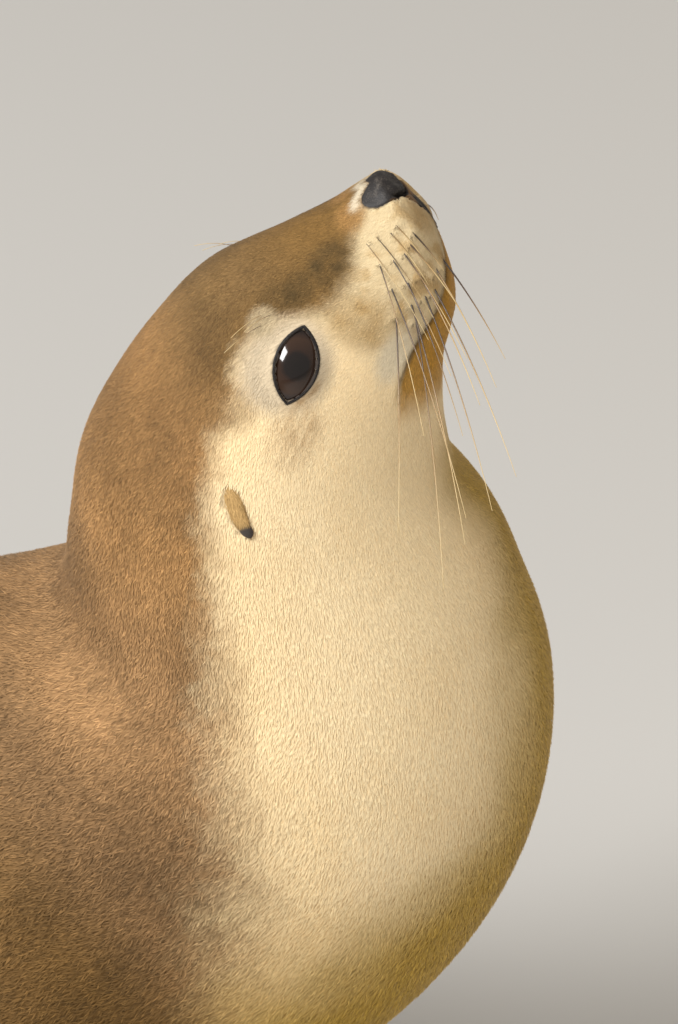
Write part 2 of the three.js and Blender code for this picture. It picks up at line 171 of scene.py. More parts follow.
def makeSpine():
    middles = sectionAt(np.arange(bodyEnd) + 0.5)
    forward = directions(middles[:, 0], middles[:, 1])[0]
    start = np.array([[0, 0, body["noseHeight"]]]) + standing
    return np.concatenate([start, start - np.cumsum(forward, 0)])


spine = makeSpine()


def spineAt(at):
    at = np.asarray(at, float)
    return np.stack([np.interp(at, np.arange(len(spine)), spine[:, k]) for k in range(3)], -1)


def signedPower(value, exponent):
    return np.sign(value) * np.abs(value) ** exponent


def bodyPoint(at, turn, grow):
    pitch, yaw, top, bottom, waist, wide, crown, keel = np.moveaxis(sectionAt(at), -1, 0)
    forward, up, left = directions(pitch, yaw)
    cos, sin = np.cos(turn * 2 * np.pi), np.sin(turn * 2 * np.pi)
    roundness = np.where(cos > 0, crown, keel)
    reach = grow + np.where(cos > 0, top - waist, waist - bottom)
    height = waist + reach * signedPower(cos, 2 / roundness)
    side = (wide + grow) * signedPower(sin, 2 / roundness)
    side = side + body["noseTurn"] * (1 - smoothStep(at, 0, body["turnReach"]))
    lean = body["noseLean"] * (height - body["leanFrom"]) * (1 - smoothStep(at, 0, body["leanReach"]))
    return spineAt(at) + forward * lean[..., None] + up * height[..., None] + left * side[..., None]


# on the head, x runs behind the nose, y to the animal's right and z up through the crown
headForward, headUp, headLeft = directions(*bodyRows[0][1:3])
headAxes = np.stack([-headForward, -headLeft, headUp])
headOrigin = spine[0]


def toHead(points):
    return (points - headOrigin) @ headAxes.T


def fromHead(points):
    return np.asarray(points, float) @ headAxes + headOrigin


def bodyRowPlaces():
    places = []
    for (start, step), (end, _) in zip(body["rowSteps"], body["rowSteps"][1:]):
        count = round((end - start) / step)
        places.extend(start + (end - start) * i / count for i in range(count))
    return np.array(places + [bodyEnd])


# how deep the coat lies over the skin, from the lips back
coatDepthRows = [(0, 0.7), (60, 0.9), (150, 1.6), (300, 2.4), (1000, 2.6), (1420, 1.8), (1535, 0.8)]


def coatDepth(at):
    return np.interp(at, *zip(*coatDepthRows))


def bodyGrid():
    ats = bodyRowPlaces()
    columns = np.arange(body["columns"]) / body["columns"] - 0.5
    turns = columns + body["sideCrowding"] * np.sin(4 * np.pi * columns) / (4 * np.pi)
    at, turn = np.meshgrid(ats, turns, indexing="ij")
    return at, turn, bodyPoint(at, turn, -coatDepth(at))


def meshPiece(name, points, faces):
    mesh = bpy.data.meshes.new(name)
    sizes = np.concatenate([np.full(len(f), f.shape[1]) for f in faces])
    corners = np.concatenate([f.ravel() for f in faces])
    mesh.vertices.add(len(points))
    mesh.vertices.foreach_set("co", (points * mm).ravel())
    mesh.loops.add(len(corners))
    mesh.loops.foreach_set("vertex_index", corners)
    mesh.polygons.add(len(sizes))
    mesh.polygons.foreach_set("loop_start", np.concatenate([[0], np.cumsum(sizes)[:-1]]))
    mesh.update(calc_edges=True)
    mesh.polygons.foreach_set("use_smooth", np.ones(len(sizes), bool))
    piece = bpy.data.objects.new(name, mesh)
    bpy.context.collection.objects.link(piece)
    return piece


def addValues(piece, **named):
    kinds = {1: ("FLOAT", "value"), 3: ("FLOAT_VECTOR", "vector"), 4: ("FLOAT_COLOR", "color")}
    for name, values in named.items():
        kind, field = kinds[values.shape[1] if values.ndim > 1 else 1]
        layer = piece.data.attributes.new(name, kind, "POINT")
        layer.data.foreach_set(field, np.asarray(values, np.float32).ravel())


def addMap(piece, name, places):
    layer = piece.data.uv_layers.new(name=name)
    layer.data.foreach_set("uv", places.astype(np.float32).ravel())


def readAll(items, field, width=1, kind=np.int32):
    values = np.empty(len(items) * width, kind)
    items.foreach_get(field, values)
    return values.reshape(-1, width) if width > 1 else values


def readPoints(piece):
    return readAll(piece.data.vertices, "co", 3, float) / mm


def readValues(piece, *names):
    return [readAll(piece.data.attributes[name].data, "value", 1, np.float32).astype(float) for name in names]


def coverWith(piece, material):
    piece.data.materials.clear()
    piece.data.materials.append(material)
    piece.data.polygons.foreach_set("material_index", np.zeros(len(piece.data.polygons), np.int32))


def ringFaces(rows, columns):
    index = np.arange(rows * columns).reshape(rows, columns)
    onward = np.roll(index, -1, axis=1)
    return np.stack([index[:-1], onward[:-1], onward[1:], index[1:]], -1).reshape(-1, 4)


def fan(ring, tip):
    return np.stack([ring, np.roll(ring, -1), np.full(len(ring), tip)], -1)


sideName = {-1: "left", 1: "right"}

# the eyes' places, which the lids, the balls and the rims share
eye = {
    "behind": 103, "height": 10, "side": 38.5, "radius": 21,
    "aim": (0.42, 0.87, 0.24),  # forwards, sideways, up
    "along": (0.86, -0.47, 0.18),
    "lidRadius": 22.6, "lidBlend": 7, "lidReach": 45,
    "slitLength": 43, "slitHalf": 12, "cornerEase": 0.125,  # the slit and how its corners are drawn out
    "stretch": 1.5,  # the ball is this much longer along the slit, to fill its corners
    "socketRadius": 16.5, "socketEdge": (0.05, 1.3),
    "snap": 0.75,  # points this near to the slit's edge are moved on to it
}


def eyeFrame(side):
    centre = np.array([eye["behind"], side * eye["side"], eye["height"]])
    forwards, sideways, up = eye["aim"]
    outwards = unit([-forwards, side * sideways, up])
    forwards, sideways, up = eye["along"]
    along = np.array([-forwards, side * sideways, up])
    across = unit(np.cross(outwards, along))
    return centre, np.cross(across, outwards), across, outwards


def slitAlong(u):
    return eye["slitLength"] / 2 * ((1 + eye["cornerEase"]) * u - eye["cornerEase"] * u ** 3)


def slitAcross(u):
    return eye["slitHalf"] * (1 - u * u)


def slitHalfWidth(a):
    u = np.linspace(-1, 1, 401)
    return np.interp(a, slitAlong(u), slitAcross(u), -9, -9)  # past the corners there is no slit


def sculptEyes(p):
    half, soft = eye["slitLength"] / 2, eye["lidBlend"]
    for side in (-1, 1):
        centre, along, across, outwards = eyeFrame(side)
        rel = p - centre
        near = (np.linalg.norm(rel, axis=-1) < eye["lidReach"]) & (rel @ outwards > -4)
        q = rel[near]
        # the lids swell out of the face to their own ball
        r = np.linalg.norm(q, axis=-1)
        meet = np.clip(soft - np.abs(r - eye["lidRadius"]), 0, None) / soft
        grown = np.maximum(r, eye["lidRadius"]) + meet * meet * soft / 4
        q = q * (grown / r)[:, None]
        # inside the slit the skin drops into the socket
        a, b, c = q @ along, q @ across, q @ outwards
        gap = np.abs(b) - slitHalfWidth(a)
        gap = np.where(np.abs(a) > half, np.hypot(np.abs(a) - half, b), gap)
        snap = (np.abs(gap) < eye["snap"]) & (np.abs(a) < half - 0.5)
        b = np.where(snap, np.sign(b) * slitHalfWidth(a), b)
        q = a[:, None] * along + b[:, None] * across + c[:, None] * outwards
        r = np.linalg.norm(q, axis=-1)
        inside = smoothStep(-np.where(snap, 0, gap), *eye["socketEdge"])
        q = q * (blend(r, eye["socketRadius"], inside) / r)[:, None]
        p[near] = centre + q
    return p


# the mouth
mouth = {
    "line": [(-12, -33), (4, -33), (14, -42), (24, -46), (40, -47), (62, -47), (80, -49), (96, -54),
             (104, -58)],
    "end": 99, "fade": 14,
    "grooveDepth": 3.2, "grooveHalfWidth": 1.2,
    "jawInset": 1.3, "insetEnds": (8, 26),
    "lipSwell": 0.6, "swellHeight": 4, "swellHalfWidth": 3.5,
}


def underMouth(p):
    return np.interp(p[..., 0], *zip(*mouth["line"])) - p[..., 2]


def sculptMouth(p, normals):
    below = underMouth(p)
    fade = 1 - smoothStep(p[..., 0], mouth["end"] - mouth["fade"], mouth["end"])
    groove = mouth["grooveDepth"] * hump(below, 0, mouth["grooveHalfWidth"])
    inset = mouth["jawInset"] * smoothStep(below, 0, 1) * (1 - smoothStep(below, *mouth["insetEnds"]))
    swell = mouth["lipSwell"] * hump(below, -mouth["swellHeight"], mouth["swellHalfWidth"])
    return p - normals * ((groove + inset - swell) * fade)[..., None]


# the muzzle: the bed of the nose pad, the cleft of the lip and the roots of the whiskers
nosePad = {
    "shift": -4.8, "lean": (0.2, 0.06), "farNarrow": 0.14,  # sideways, with the turn of the nose
    # half of the bare pad's outline, as sideways and up, from its top to the lip
    "outline": [(0, 11), (3, 12), (6.2, 12.5), (9.6, 11.6), (13, 9.2), (15.4, 5.6), (16, 2.6), (15.2, 0),
                (12.8, -3), (9.5, -7), (7, -11), (5.6, -15), (4.6, -19), (3.8, -23), (3, -28), (2.5, -34),
                (2.2, -39)],
    "outlineSteps": 120, "window": (24, -46, 24),  # half width, bottom and top of what the outline can reach
    "bedDepth": 11, "bedEdge": (0.6, 2.4), "bedEnd": 34, "bedLow": (-26, -18),
    "cleftHalfWidth": 1.5, "cleftDepth": 1.2, "cleftEnd": 25, "cleftTop": (18, 26), "cleftBottom": (38, 46),
    "rings": 46, "spokes": 150, "proud": 0.2, "skirt": 3.0, "skirtFrom": 0.86, "core": (-34, 9),
    "groove": 0.9, "grooveHalfWidth": 1.1,
    "nostril": {"side": 7, "height": -6.2, "length": 8.2, "width": 2.0, "roll": 46, "depth": 6,
                "curve": 0.022, "swells": [(-4.0, 2.4, 1.1), (3.4, 1.8, 0.9)],  # place, half width, height
                "swellLength": 8},
}
# where the whiskers stand on the right of the muzzle: behind the nose, up, sideways
whiskerRoots = np.array([
    (9, -5, 26), (9, -14, 24), (13, -4, 30), (18, 1, 33), (14, -14, 28), (19, -13, 32), (24, -9, 35),
    (29, -4, 38), (26, -25, 32), (31, -20, 36), (37, -14, 40), (35, -33, 33), (41, -28, 38),
    (50, -24, 42), (49, -36, 38), (31, -37, 28), (22, -34, 24), (23, 4, 36), (18, -38, 18)], float)
whiskerBed = {"bulge": 0.95, "reach": 2.3, "sideReach": 16, "fromMiddle": 9}


def noseShift(behind):
    return nosePad["shift"] * (1 - smoothStep(behind, 0, body["turnReach"]))


def nearestDistance(points, marks, step=4000):
    found = np.empty(len(points))
    for i in range(0, len(points), step):
        part = points[i:i + step]
        found[i:i + step] = np.sqrt(np.clip(
            (part ** 2).sum(1)[:, None] - 2 * part @ marks.T + (marks ** 2).sum(1), 0, None).min(1))
    return found


def padOutline(count):
    half = np.array(nosePad["outline"], float)
    smooth = curveThrough(half)(np.linspace(0, len(half) - 1, 120))
    loop = np.concatenate([smooth, smooth[::-1] * (-1, 1)])
    length = np.concatenate([[0], np.cumsum(np.linalg.norm(np.diff(loop, axis=0), axis=1))])
    places = np.arange(count) / count * length[-1]
    across, up = (np.interp(places, length, loop[:, k]) for k in (0, 1))
    upper = smoothStep(up, -14, 2)
    lean = np.where(across < 0, *nosePad["lean"])
    return np.stack(
        [across * (1 - nosePad["farNarrow"] * upper * (across < 0)), up + lean * across * upper], -1)


def padReach(y, z):
    # how far outside the pad's outline a place lies, or less than nothing inside it
    loop = padOutline(nosePad["outlineSteps"])
    ahead = np.roll(loop, -1, axis=0)
    places = np.stack([np.ravel(y) - nosePad["shift"], np.ravel(z)], -1)
    found = np.full(len(places), 99.0)
    half, low, high = nosePad["window"]
    near = (np.abs(places[:, 0]) < half) & (places[:, 1] > low) & (places[:, 1] < high)
    across, up = places[near, :1], places[near, 1:]
    slope = (ahead[:, 0] - loop[:, 0]) / np.where(ahead[:, 1] == loop[:, 1], 1e-9, ahead[:, 1] - loop[:, 1])
    crossed = ((loop[:, 1] > up) != (ahead[:, 1] > up)) & (across < loop[:, 0] + slope * (up - loop[:, 1]))
    inside = crossed.sum(1) % 2 == 1
    found[near] = nearestDistance(places[near], loop) * np.where(inside, -1, 1)
    return found.reshape(np.shape(y))


def whiskerBulge(head, reach):
    total = np.zeros(head.shape[:-1])
    sideways = np.abs(head[..., 1] - noseShift(head[..., 0]))
    for behind, up, side in whiskerRoots:
        away = (head[..., 0] - behind) ** 2 + (head[..., 2] - up) ** 2
        total += (np.exp(-away / (2 * reach ** 2)) * (np.abs(sideways - side) < whiskerBed["sideReach"])
                  * (sideways > whiskerBed["fromMiddle"]))
    return total


def sculptMuzzle(p, normals):
    behind, across, up = p[..., 0], p[..., 1] - nosePad["shift"], p[..., 2]
    inPad = smoothStep(-padReach(p[..., 1], up), *nosePad["bedEdge"])
    inPad = inPad * (behind < nosePad["bedEnd"]) * smoothStep(up, *nosePad["bedLow"])
    cleft = hump(across, 0, nosePad["cleftHalfWidth"]) * smoothStep(-up, *nosePad["cleftTop"])
    cleft = cleft * (1 - smoothStep(-up, *nosePad["cleftBottom"]))
    bulge = whiskerBed["bulge"] * whiskerBulge(p, whiskerBed["reach"])
    moved = p + normals * (bulge - nosePad["cleftDepth"] * cleft * (behind < nosePad["cleftEnd"]))[..., None]
    return moved + np.array([1, 0, 0]) * (nosePad["bedDepth"] * inPad)[..., None]


def surfaceNormals(points):
    around = np.roll(points, -1, axis=1) - np.roll(points, 1, axis=1)
    return unit(np.cross(around, np.gradient(points, axis=0)))


def makeBody():
    at, turn, points = bodyGrid()
    lie = unit(np.gradient(points, axis=0))
    face = np.count_nonzero(at[:, 0] < body["faceEnd"])
    normals = surfaceNormals(points)[:face] @ headAxes.T
    carved = sculptMuzzle(sculptMouth(toHead(points[:face]), normals), normals)
    points[:face] = fromHead(sculptEyes(carved))
    # the rounded end over the lips
    shrink = np.array(body["frontRings"])
    count = len(shrink)
    front = bodyPoint(np.zeros(count)[:, None], turn[:1], -coatDepth(0))
    middle = front.mean(1, keepdims=True)
    bulge = body["frontBulge"] * np.sqrt(1 - shrink ** 2)
    front = middle + (front - middle) * shrink[:, None, None] + headForward * bulge[:, None, None]
    front = fromHead(sculptMuzzle(toHead(front), np.broadcast_to([-1.0, 0, 0], front.shape)))
    points = np.concatenate([front, points])
    points[..., 2] = np.maximum(points[..., 2], body["skinFloor"])
    at = np.concatenate([np.zeros((count, at.shape[1])), at])
    turn, lie = (np.concatenate([np.repeat(part[:1], count, 0), part]) for part in (turn, lie))
    # one point closes the front and one the tail
    rows, columns = at.shape
    spare = columns - 1
    faces = np.maximum(ringFaces(rows, columns) - spare, 0)
    lastRing = (rows - 1) * columns - spare
    flat = np.concatenate([points.reshape(-1, 3)[spare:], points[-1].mean(0, keepdims=True)])
    piece = meshPiece("skin", flat, [
        faces[:columns][:, [0, 2, 3]], faces[columns:],
        fan(lastRing + np.arange(columns), lastRing + columns)])
    at, turn, lie = (part[spare:] for part in (at.ravel(), turn.ravel(), lie.reshape(-1, 3)))
    at, turn, lie = (np.concatenate([part, part[-1:]]) for part in (at, turn, lie))
    addValues(piece, at=at, turn=turn, lie=lie, limb=np.zeros(len(flat)))
    return piece


# the flippers, as in the CAD: out, back, up, wide, thick, across
fore = {
    "origin": 575, "toes": 5, "depth": 7, "rows": 84, "cells": 44, "limb": 1,
    "stations": [
        (96, 10, 262, 58, 30, 8), (132, 4, 214, 60, 28, 8), (160, -6, 158, 60, 24, 8),
        (180, -14, 104, 62, 21, 12), (196, -16, 58, 66, 18, 20), (215, -8, 26, 73, 14, 30),
        (244, 12, 11, 80, 11, 38), (280, 40, 6.5, 82, 8, 42), (320, 74, 5, 77, 6.5, 46),
        (356, 108, 3.4, 66, 4.6, 50), (384, 138, 2.2, 48, 3, 54), (402, 160, 1.6, 26, 2, 58)],
}
hind = {
    "origin": 1360, "toes": 5, "depth": 22, "rows": 72, "cells": 50, "limb": 2,
    "stations": [
        (34, 10, 62, 32, 30, -20), (72, 18, 54, 33, 27, -20), (108, 10, 38, 35, 22, -34),
        (138, -14, 22, 39, 17, -50), (160, -50, 11, 44, 12, -60), (180, -96, 6.5, 52, 8, -65),
        (200, -146, 4.4, 61, 5.6, -68), (218, -196, 2.8, 68, 3.8, -70), (232, -238, 1.8, 68, 2.4, -72)],
}
blade = {
    "edge": 0.7, "partFrom": 0.6, "ridge": 0.9, "ridgeOver": (0.35, 0.7), "notch": 0.3,
    # how far the skin lies under the coat, at the arm and at the blade
    "inset": (2.0, 0.25), "insetOver": (0.25, 0.6),
    "crowding": 0.35,  # how much closer the cells stand along the edges
    "skinFloor": 0.15,
}
rightSide = 0.25  # the limb's number is this much higher on the animal's right


def makeFlipper(name, limb, side):
    stations = np.array(limb["stations"], float)
    along = curveThrough(stations)
    origin = spineAt(limb["origin"]) * (1, 1, 0)

    def placeAt(t):
        out, back, up = np.moveaxis(along(t)[..., :3], -1, 0)
        return np.stack([-side * out, back, up], -1) + origin

    share = np.linspace(0, 1, limb["rows"])
    t = share * (len(stations) - 1)
    wide, thick, across = np.moveaxis(along(t)[..., 3:], -1, 0)
    heading = np.radians(across)
    path = unit(placeAt(np.minimum(t + 0.01, t[-1])) - placeAt(np.maximum(t - 0.01, 0)))
    width = np.stack([side * np.sin(heading), np.cos(heading), 0 * heading], -1)
    width = unit(width - path * (width * path).sum(-1, keepdims=True))
    face = np.cross(width, path)
    u = -np.cos(np.linspace(0, np.pi, limb["cells"] + 1))
    u = blade["crowding"] * u + (1 - blade["crowding"]) * np.linspace(-1, 1, limb["cells"] + 1)
    crest = np.abs(np.sin((u + 1) / 2 * limb["toes"] * np.pi))
    parting = smoothStep(share, blade["partFrom"], 1)[:, None]
    ridge = blade["ridge"] * smoothStep(share, *blade["ridgeOver"])[:, None] * (crest - 0.6)
    swell = np.sqrt(np.clip(1 - u * u, 0, None)) * (1 - blade["notch"] * parting * (1 - crest))
    inset = blend(*blade["inset"], smoothStep(share, *blade["insetOver"]))[:, None]
    half = np.maximum(blade["edge"], thick[:, None] * swell + ridge * swell - inset)
    middle = (
        placeAt(t)[:, None] + width[:, None] * (u * wide[:, None])[..., None]
        + path[:, None] * (parting * limb["depth"] * crest)[..., None]
    )
    over = middle + face[:, None] * half[..., None]
    under = (middle - face[:, None] * half[..., None])[:, ::-1]
    rings = np.concatenate([over, under], 1)
    rings[..., 2] = np.maximum(rings[..., 2], blade["skinFloor"])
    rows, columns = rings.shape[:2]
    j = np.arange(limb["cells"])
    opposite = columns - 1 - j
    cap = np.stack([j + 1, opposite - 1, opposite, j], -1)
    end = np.stack([opposite, opposite - 1, j + 1, j], -1) + (rows - 1) * columns
    piece = meshPiece(name, rings.reshape(-1, 3), [ringFaces(rows, columns)[:, ::-1], cap, end])
    turn = np.concatenate([u, u[::-1] + 2.5])  # the underside follows the upper face
    addValues(piece, at=np.repeat(share, columns), turn=np.tile(turn, rows), lie=np.repeat(path, columns, 0),
              limb=np.full(rows * columns, limb["limb"] + (rightSide if side > 0 else 0)))
    return piece


# the ears: small rolled leaves that hang back and down
ear = {
    "behind": 172.8, "height": 12.2, "side": 78.6, "length": 25, "radius": 6.3, "sunk": 7, "curl": 2.2,
    "aim": (-0.62, 0.54, -0.66), "opening": (-0.6, 0.25, -0.75), "rows": 40, "columns": 36,
    "widths": [0.9, 1.0, 1.0, 0.93, 0.8, 0.62, 0.42], "flatness": 0.72, "tipFrom": 0.84,
    "groove": 0.72, "grooveHalf": 0.45, "grooveStart": (0.1, 0.25), "grooveEnd": (0.72, 0.9), "limb": 3,
}


def makeEar(side):
    forwards, sideways, up = ear["aim"]
    hang = unit([-forwards, side * sideways, up])
    front = unit(np.cross(hang, np.cross(np.array(ear["opening"]) * (1, side, 1), hang)))
    flat = np.cross(hang, front)
    share = np.linspace(0, 1, ear["rows"])
    radius = ear["radius"] * np.interp(share, np.linspace(0, 1, len(ear["widths"])), ear["widths"])
    radius = radius * np.sqrt(np.clip(1 - smoothStep(share, ear["tipFrom"], 1) ** 2, 0.0, 1))
    bearing = np.linspace(0, 2 * np.pi, ear["columns"], endpoint=False)
    cut = hump((bearing + np.pi) % (2 * np.pi) - np.pi, 0, ear["grooveHalf"])
    groove = (ear["groove"] * smoothStep(share, *ear["grooveStart"])
              * (1 - smoothStep(share, *ear["grooveEnd"])))
    reach = radius[:, None] * (1 - groove[:, None] * cut)
    start = np.array([ear["behind"], side * ear["side"], ear["height"]])
    centre = start + hang * (share * (ear["length"] + ear["sunk"]) - ear["sunk"])[:, None]
    centre = centre + front * (ear["curl"] * share ** 2)[:, None]
    rings = (
        centre[:, None] + front * (np.cos(bearing) * reach)[..., None]
        + flat * (np.sin(bearing) * reach * ear["flatness"])[..., None]
    )
    points = fromHead(rings.reshape(-1, 3))
    rows, columns = ear["rows"], ear["columns"]
    base, tip = len(points), len(points) + 1
    points = np.concatenate([points, fromHead([centre[0]]), fromHead([centre[-1]])])
    index = np.arange(columns)
    piece = meshPiece("ear", points, [
        ringFaces(rows, columns), fan(index, base)[:, [1, 0, 2]], fan(index + (rows - 1) * columns, tip)])
    addValues(
        piece, at=np.concatenate([np.repeat(share, columns), [0, 1]]),
        turn=np.concatenate([np.tile(bearing / (2 * np.pi), rows), [0, 0]]),
        lie=np.broadcast_to(fromHead([hang])[0] - headOrigin, points.shape),
        limb=np.full(len(points), ear["limb"] + (rightSide if side > 0 else 0)))
    return piece


def whichPart(limb):
    return limb < 0.6, (limb > 0.6) & (limb < 2.6), limb > 2.6  # the body, a flipper, an ear


skin = makeBody()
print("body made", len(skin.data.polygons))
limbs = [makeFlipper("foreFlipper", fore, side) for side in (-1, 1)]
limbs += [makeFlipper("hindFlipper", hind, side) for side in (-1, 1)]
limbs += [makeEar(side) for side in (-1, 1)]


def growLimbs(skin, limbs):
    deselectAll()
    for piece in limbs:
        piece.select_set(True)
    bpy.context.view_layer.objects.active = limbs[0]
    bpy.ops.object.join()
    deselectAll()
    bpy.context.view_layer.objects.active = skin
    union = skin.modifiers.new("union", "BOOLEAN")
    union.operation, union.solver, union.object = "UNION", "MANIFOLD", limbs[0]
    bpy.ops.object.modifier_apply(modifier=union.name)
    bpy.data.objects.remove(limbs[0])


growLimbs(skin, limbs)
print("limbs grown", len(skin.data.polygons))

# the fillets where the limbs leave the trunk and the ears leave the head
fillet = {"core": 0.35, "strength": 0.5, "limbs": (46, 26), "ears": (5, 3)}  # reach and rounds


def smoothJoins(piece):
    points, ends = readPoints(piece), readAll(piece.data.edges, "vertices", 2)
    limb = np.round(readValues(piece, "limb")[0] - 0.1)
    for kinds, (reach, rounds) in (((1, 2), fillet["limbs"]), ((3,), fillet["ears"])):
        joined = (limb[ends[:, 0]] != limb[ends[:, 1]]) & np.isin(limb[ends].max(1), kinds)
        marks = points[np.unique(ends[joined])]
        low, high = marks.min(0) - reach, marks.max(0) + reach
        near = np.flatnonzero(((points > low) & (points < high)).all(1))
        weight = np.zeros(len(points))
        away = nearestDistance(points[near], marks[::2])
        weight[near] = 1 - smoothStep(away, fillet["core"] * reach, reach)
        moving = weight > 0
        pairs = ends[moving[ends].any(1)]
        count = np.maximum(np.bincount(pairs.ravel(), minlength=len(points)), 1)[:, None]
        for _ in range(rounds):
            total = np.stack([
                np.bincount(pairs[:, 0], points[pairs[:, 1], k], len(points))
                + np.bincount(pairs[:, 1], points[pairs[:, 0], k], len(points)) for k in range(3)], -1)
            shift = (total / count - points) * (weight * fillet["strength"])[:, None]
            points[moving] += shift[moving]
    piece.data.vertices.foreach_set("co", (points * mm).ravel())
    piece.data.update()


smoothJoins(skin)
print("joins smoothed")


# the markings, which the skin and the coat share; colours are linear
tones = {
    "crown": (0.27, 0.148, 0.056), "nape": (0.27, 0.155, 0.068), "back": (0.25, 0.15, 0.07),
    # flankDarkAndShade: the darker fur of the low flank, with painted shade laid over it
    "flank": (0.235, 0.132, 0.048), "flankDarkAndShade": (0.14, 0.074, 0.018), "forehead": (0.19, 0.112, 0.042),
    "snout": (0.19, 0.105, 0.03), "olive": (0.09, 0.056, 0.02), "cheekBrown": (0.3, 0.18, 0.075),
    "cream": (0.92, 0.75, 0.47), "creamDeep": (0.85, 0.65, 0.36), "ring": (0.57, 0.47, 0.33),
    # goldAndShade: the gold of the throat's underside, darker and deeper than its own colour as painted shade
    "brow": (0.49, 0.39, 0.24), "goldAndShade": (0.42, 0.255, 0.016), "belly": (0.66, 0.44, 0.16),
    "muzzle": (0.66, 0.53, 0.32), "muzzleTan": (0.47, 0.31, 0.13), "white": (0.74, 0.66, 0.5),
    "jaw": (0.5, 0.25, 0.022), "jawDark": (0.08, 0.045, 0.016), "rust": (0.34, 0.185, 0.06),
    "underEye": (0.55, 0.38, 0.2), "bare": (0.05, 0.04, 0.034), "arm": (0.17, 0.1, 0.045),
    "ear": (0.47, 0.3, 0.12), "earTip": (0.05, 0.043, 0.038), "tail": (0.17, 0.1, 0.05),
}
tones = {name: np.array(tone) for name, tone in tones.items()}
# how far round from the back the brown reaches, and where the gold of the throat's underside begins, its own
# gold with painted shade in it
brownEdge = [(0, 0.05), (20, 0.06), (28, 0.09), (37, 0.122), (47, 0.152), (60, 0.163), (74, 0.153),
             (81, 0.14), (93, 0.123), (102, 0.122), (114, 0.134), (124, 0.143), (134, 0.146),
             (150, 0.142), (160, 0.148), (172, 0.158), (196, 0.168), (226, 0.172), (280, 0.178),
             (304, 0.186), (330, 0.206), (349, 0.222), (362, 0.242), (376, 0.25), (398, 0.272),
             (430, 0.325), (600, 0.345), (1100, 0.35), (1400, 0.36), (1535, 0.5)]
goldEdge = [(90, 0.47), (120, 0.435), (150, 0.44), (180, 0.45), (210, 0.44), (267, 0.425), (295, 0.415),
            (319, 0.4), (333, 0.385), (346, 0.36), (362, 0.34), (400, 0.33), (480, 0.4), (560, 0.5),
            (1535, 0.6)]
edgeSoftness = [
    (0, 0.03), (60, 0.026), (100, 0.017), (160, 0.02), (240, 0.024), (330, 0.03), (400, 0.04), (700, 0.06)]
# spots of the head: their place behind the nose, sideways and up, then their reach and how soft their edge is
faceSpots = {
    "snoutSide": ((44, 27, 18), (17, 11, 12), 0.5), "beforeEye": ((62, 31, 27), (14, 8, 9), 0.5),
    "overEye": ((74, 32, 36), (12, 8, 9), 0.5), "behindEye": ((131, 57, 33), (15, 14, 12), 0.5),
    "eyeRing": ((99, 51, 17), (29, 24, 25), 0.25), "brow": ((86, 38, 38), (9, 8, 8), 0.35),
    "cheek": ((124, 71, -2), (20, 11, 13), 0.6), "underLid": ((111, 65, -3), (15, 13, 12), 0.7),
    "muzzleSide": ((60, 44, -10), (15, 11, 17), 0.45), "underNose": ((9, 12, -17), (12, 11, 12), 0.5),
    "mouthCorner": ((72, 44, -36), (22, 8, 10), 0.4), "noseTop": ((20, 11, 15), (9, 10, 8), 0.5),
    "ear": ((176, 84, 6), (16, 16, 18), 0.6),
    # crown and hindHead: paler patches of the crown and the back of the head, brightened further as a painted
    # highlight
    "crown": ((143, 15, 66), (24, 20, 16), 0.8), "hindHead": ((246, 26, 52), (24, 20, 16), 0.8),
}
# spots of the nape and the back: their place behind the nose and round from the top, both in mm
backSpots = {
    # napePaintedLight and foldPaintedLight are painted light that lifts the shade in the nape's fold;
    # backDarkAndShade is a darker patch of the back, partly painted shade
    "foldPaintedLight": ((312, 24), (34, 26), 0.8), "napePaintedLight": ((244, 34), (28, 16), 0.8),
    "backDarkAndShade": ((405, 42), (52, 26), 0.8),
}
backGirth = 260  # what a turn of one measures there
unmarked = 99.0  # what stands for far away


def hashed(cells, seed):
    x, y, z = (cells[:, k].astype(np.int64) for k in range(3))
    n = (x * 374761393 + y * 668265263 + z * 2147483647 + seed * 974634777) & 0xFFFFFFFF
    n = ((n ^ (n >> 13)) * 1274126177) & 0xFFFFFFFF
    return ((n ^ (n >> 16)) & 0xFFFF) / 65535.0


def mottle(points, size, seed=0):
    cells = points / size
    base = np.floor(cells)
    part = cells - base
    part = part * part * (3 - 2 * part)
    total = np.zeros(len(points))
    for corner in np.ndindex(2, 2, 2):
        c = np.array(corner)
        total += hashed(base + c, seed) * np.where(c, part, 1 - part).prod(1)
    return total * 2 - 1

def plain(tone, count):
    return np.repeat(tones[tone][None], count, 0)


def layered(colour, *layers):
    for tone, amount in layers:
        colour = colour + (tones[tone] - colour) * np.clip(amount, 0, 1)[:, None]
    return colour


def eyeGap(head):
    gap = np.full(len(head), unmarked)
    half = eye["slitLength"] / 2
    for side in (-1, 1):
        centre, along, across, outwards = eyeFrame(side)
        q = head - centre
        a, b = q @ along, q @ across
        here = np.abs(b) - slitHalfWidth(np.clip(a, -half, half))
        beyond = np.hypot(np.maximum(here, 0), np.maximum(np.abs(a) - half, 0))
        here = beyond + np.minimum(here, 0) * (np.abs(a) < half)
        gap = np.where((q @ outwards > 4) & (np.abs(b) < 40), np.minimum(gap, here), gap)
    return gap


def spot(p, centre, reach, soft):
    away = np.linalg.norm((p - np.array(centre)) / np.array(reach), axis=-1)
    return 1 - smoothStep(away, 1 - soft, 1 + soft)


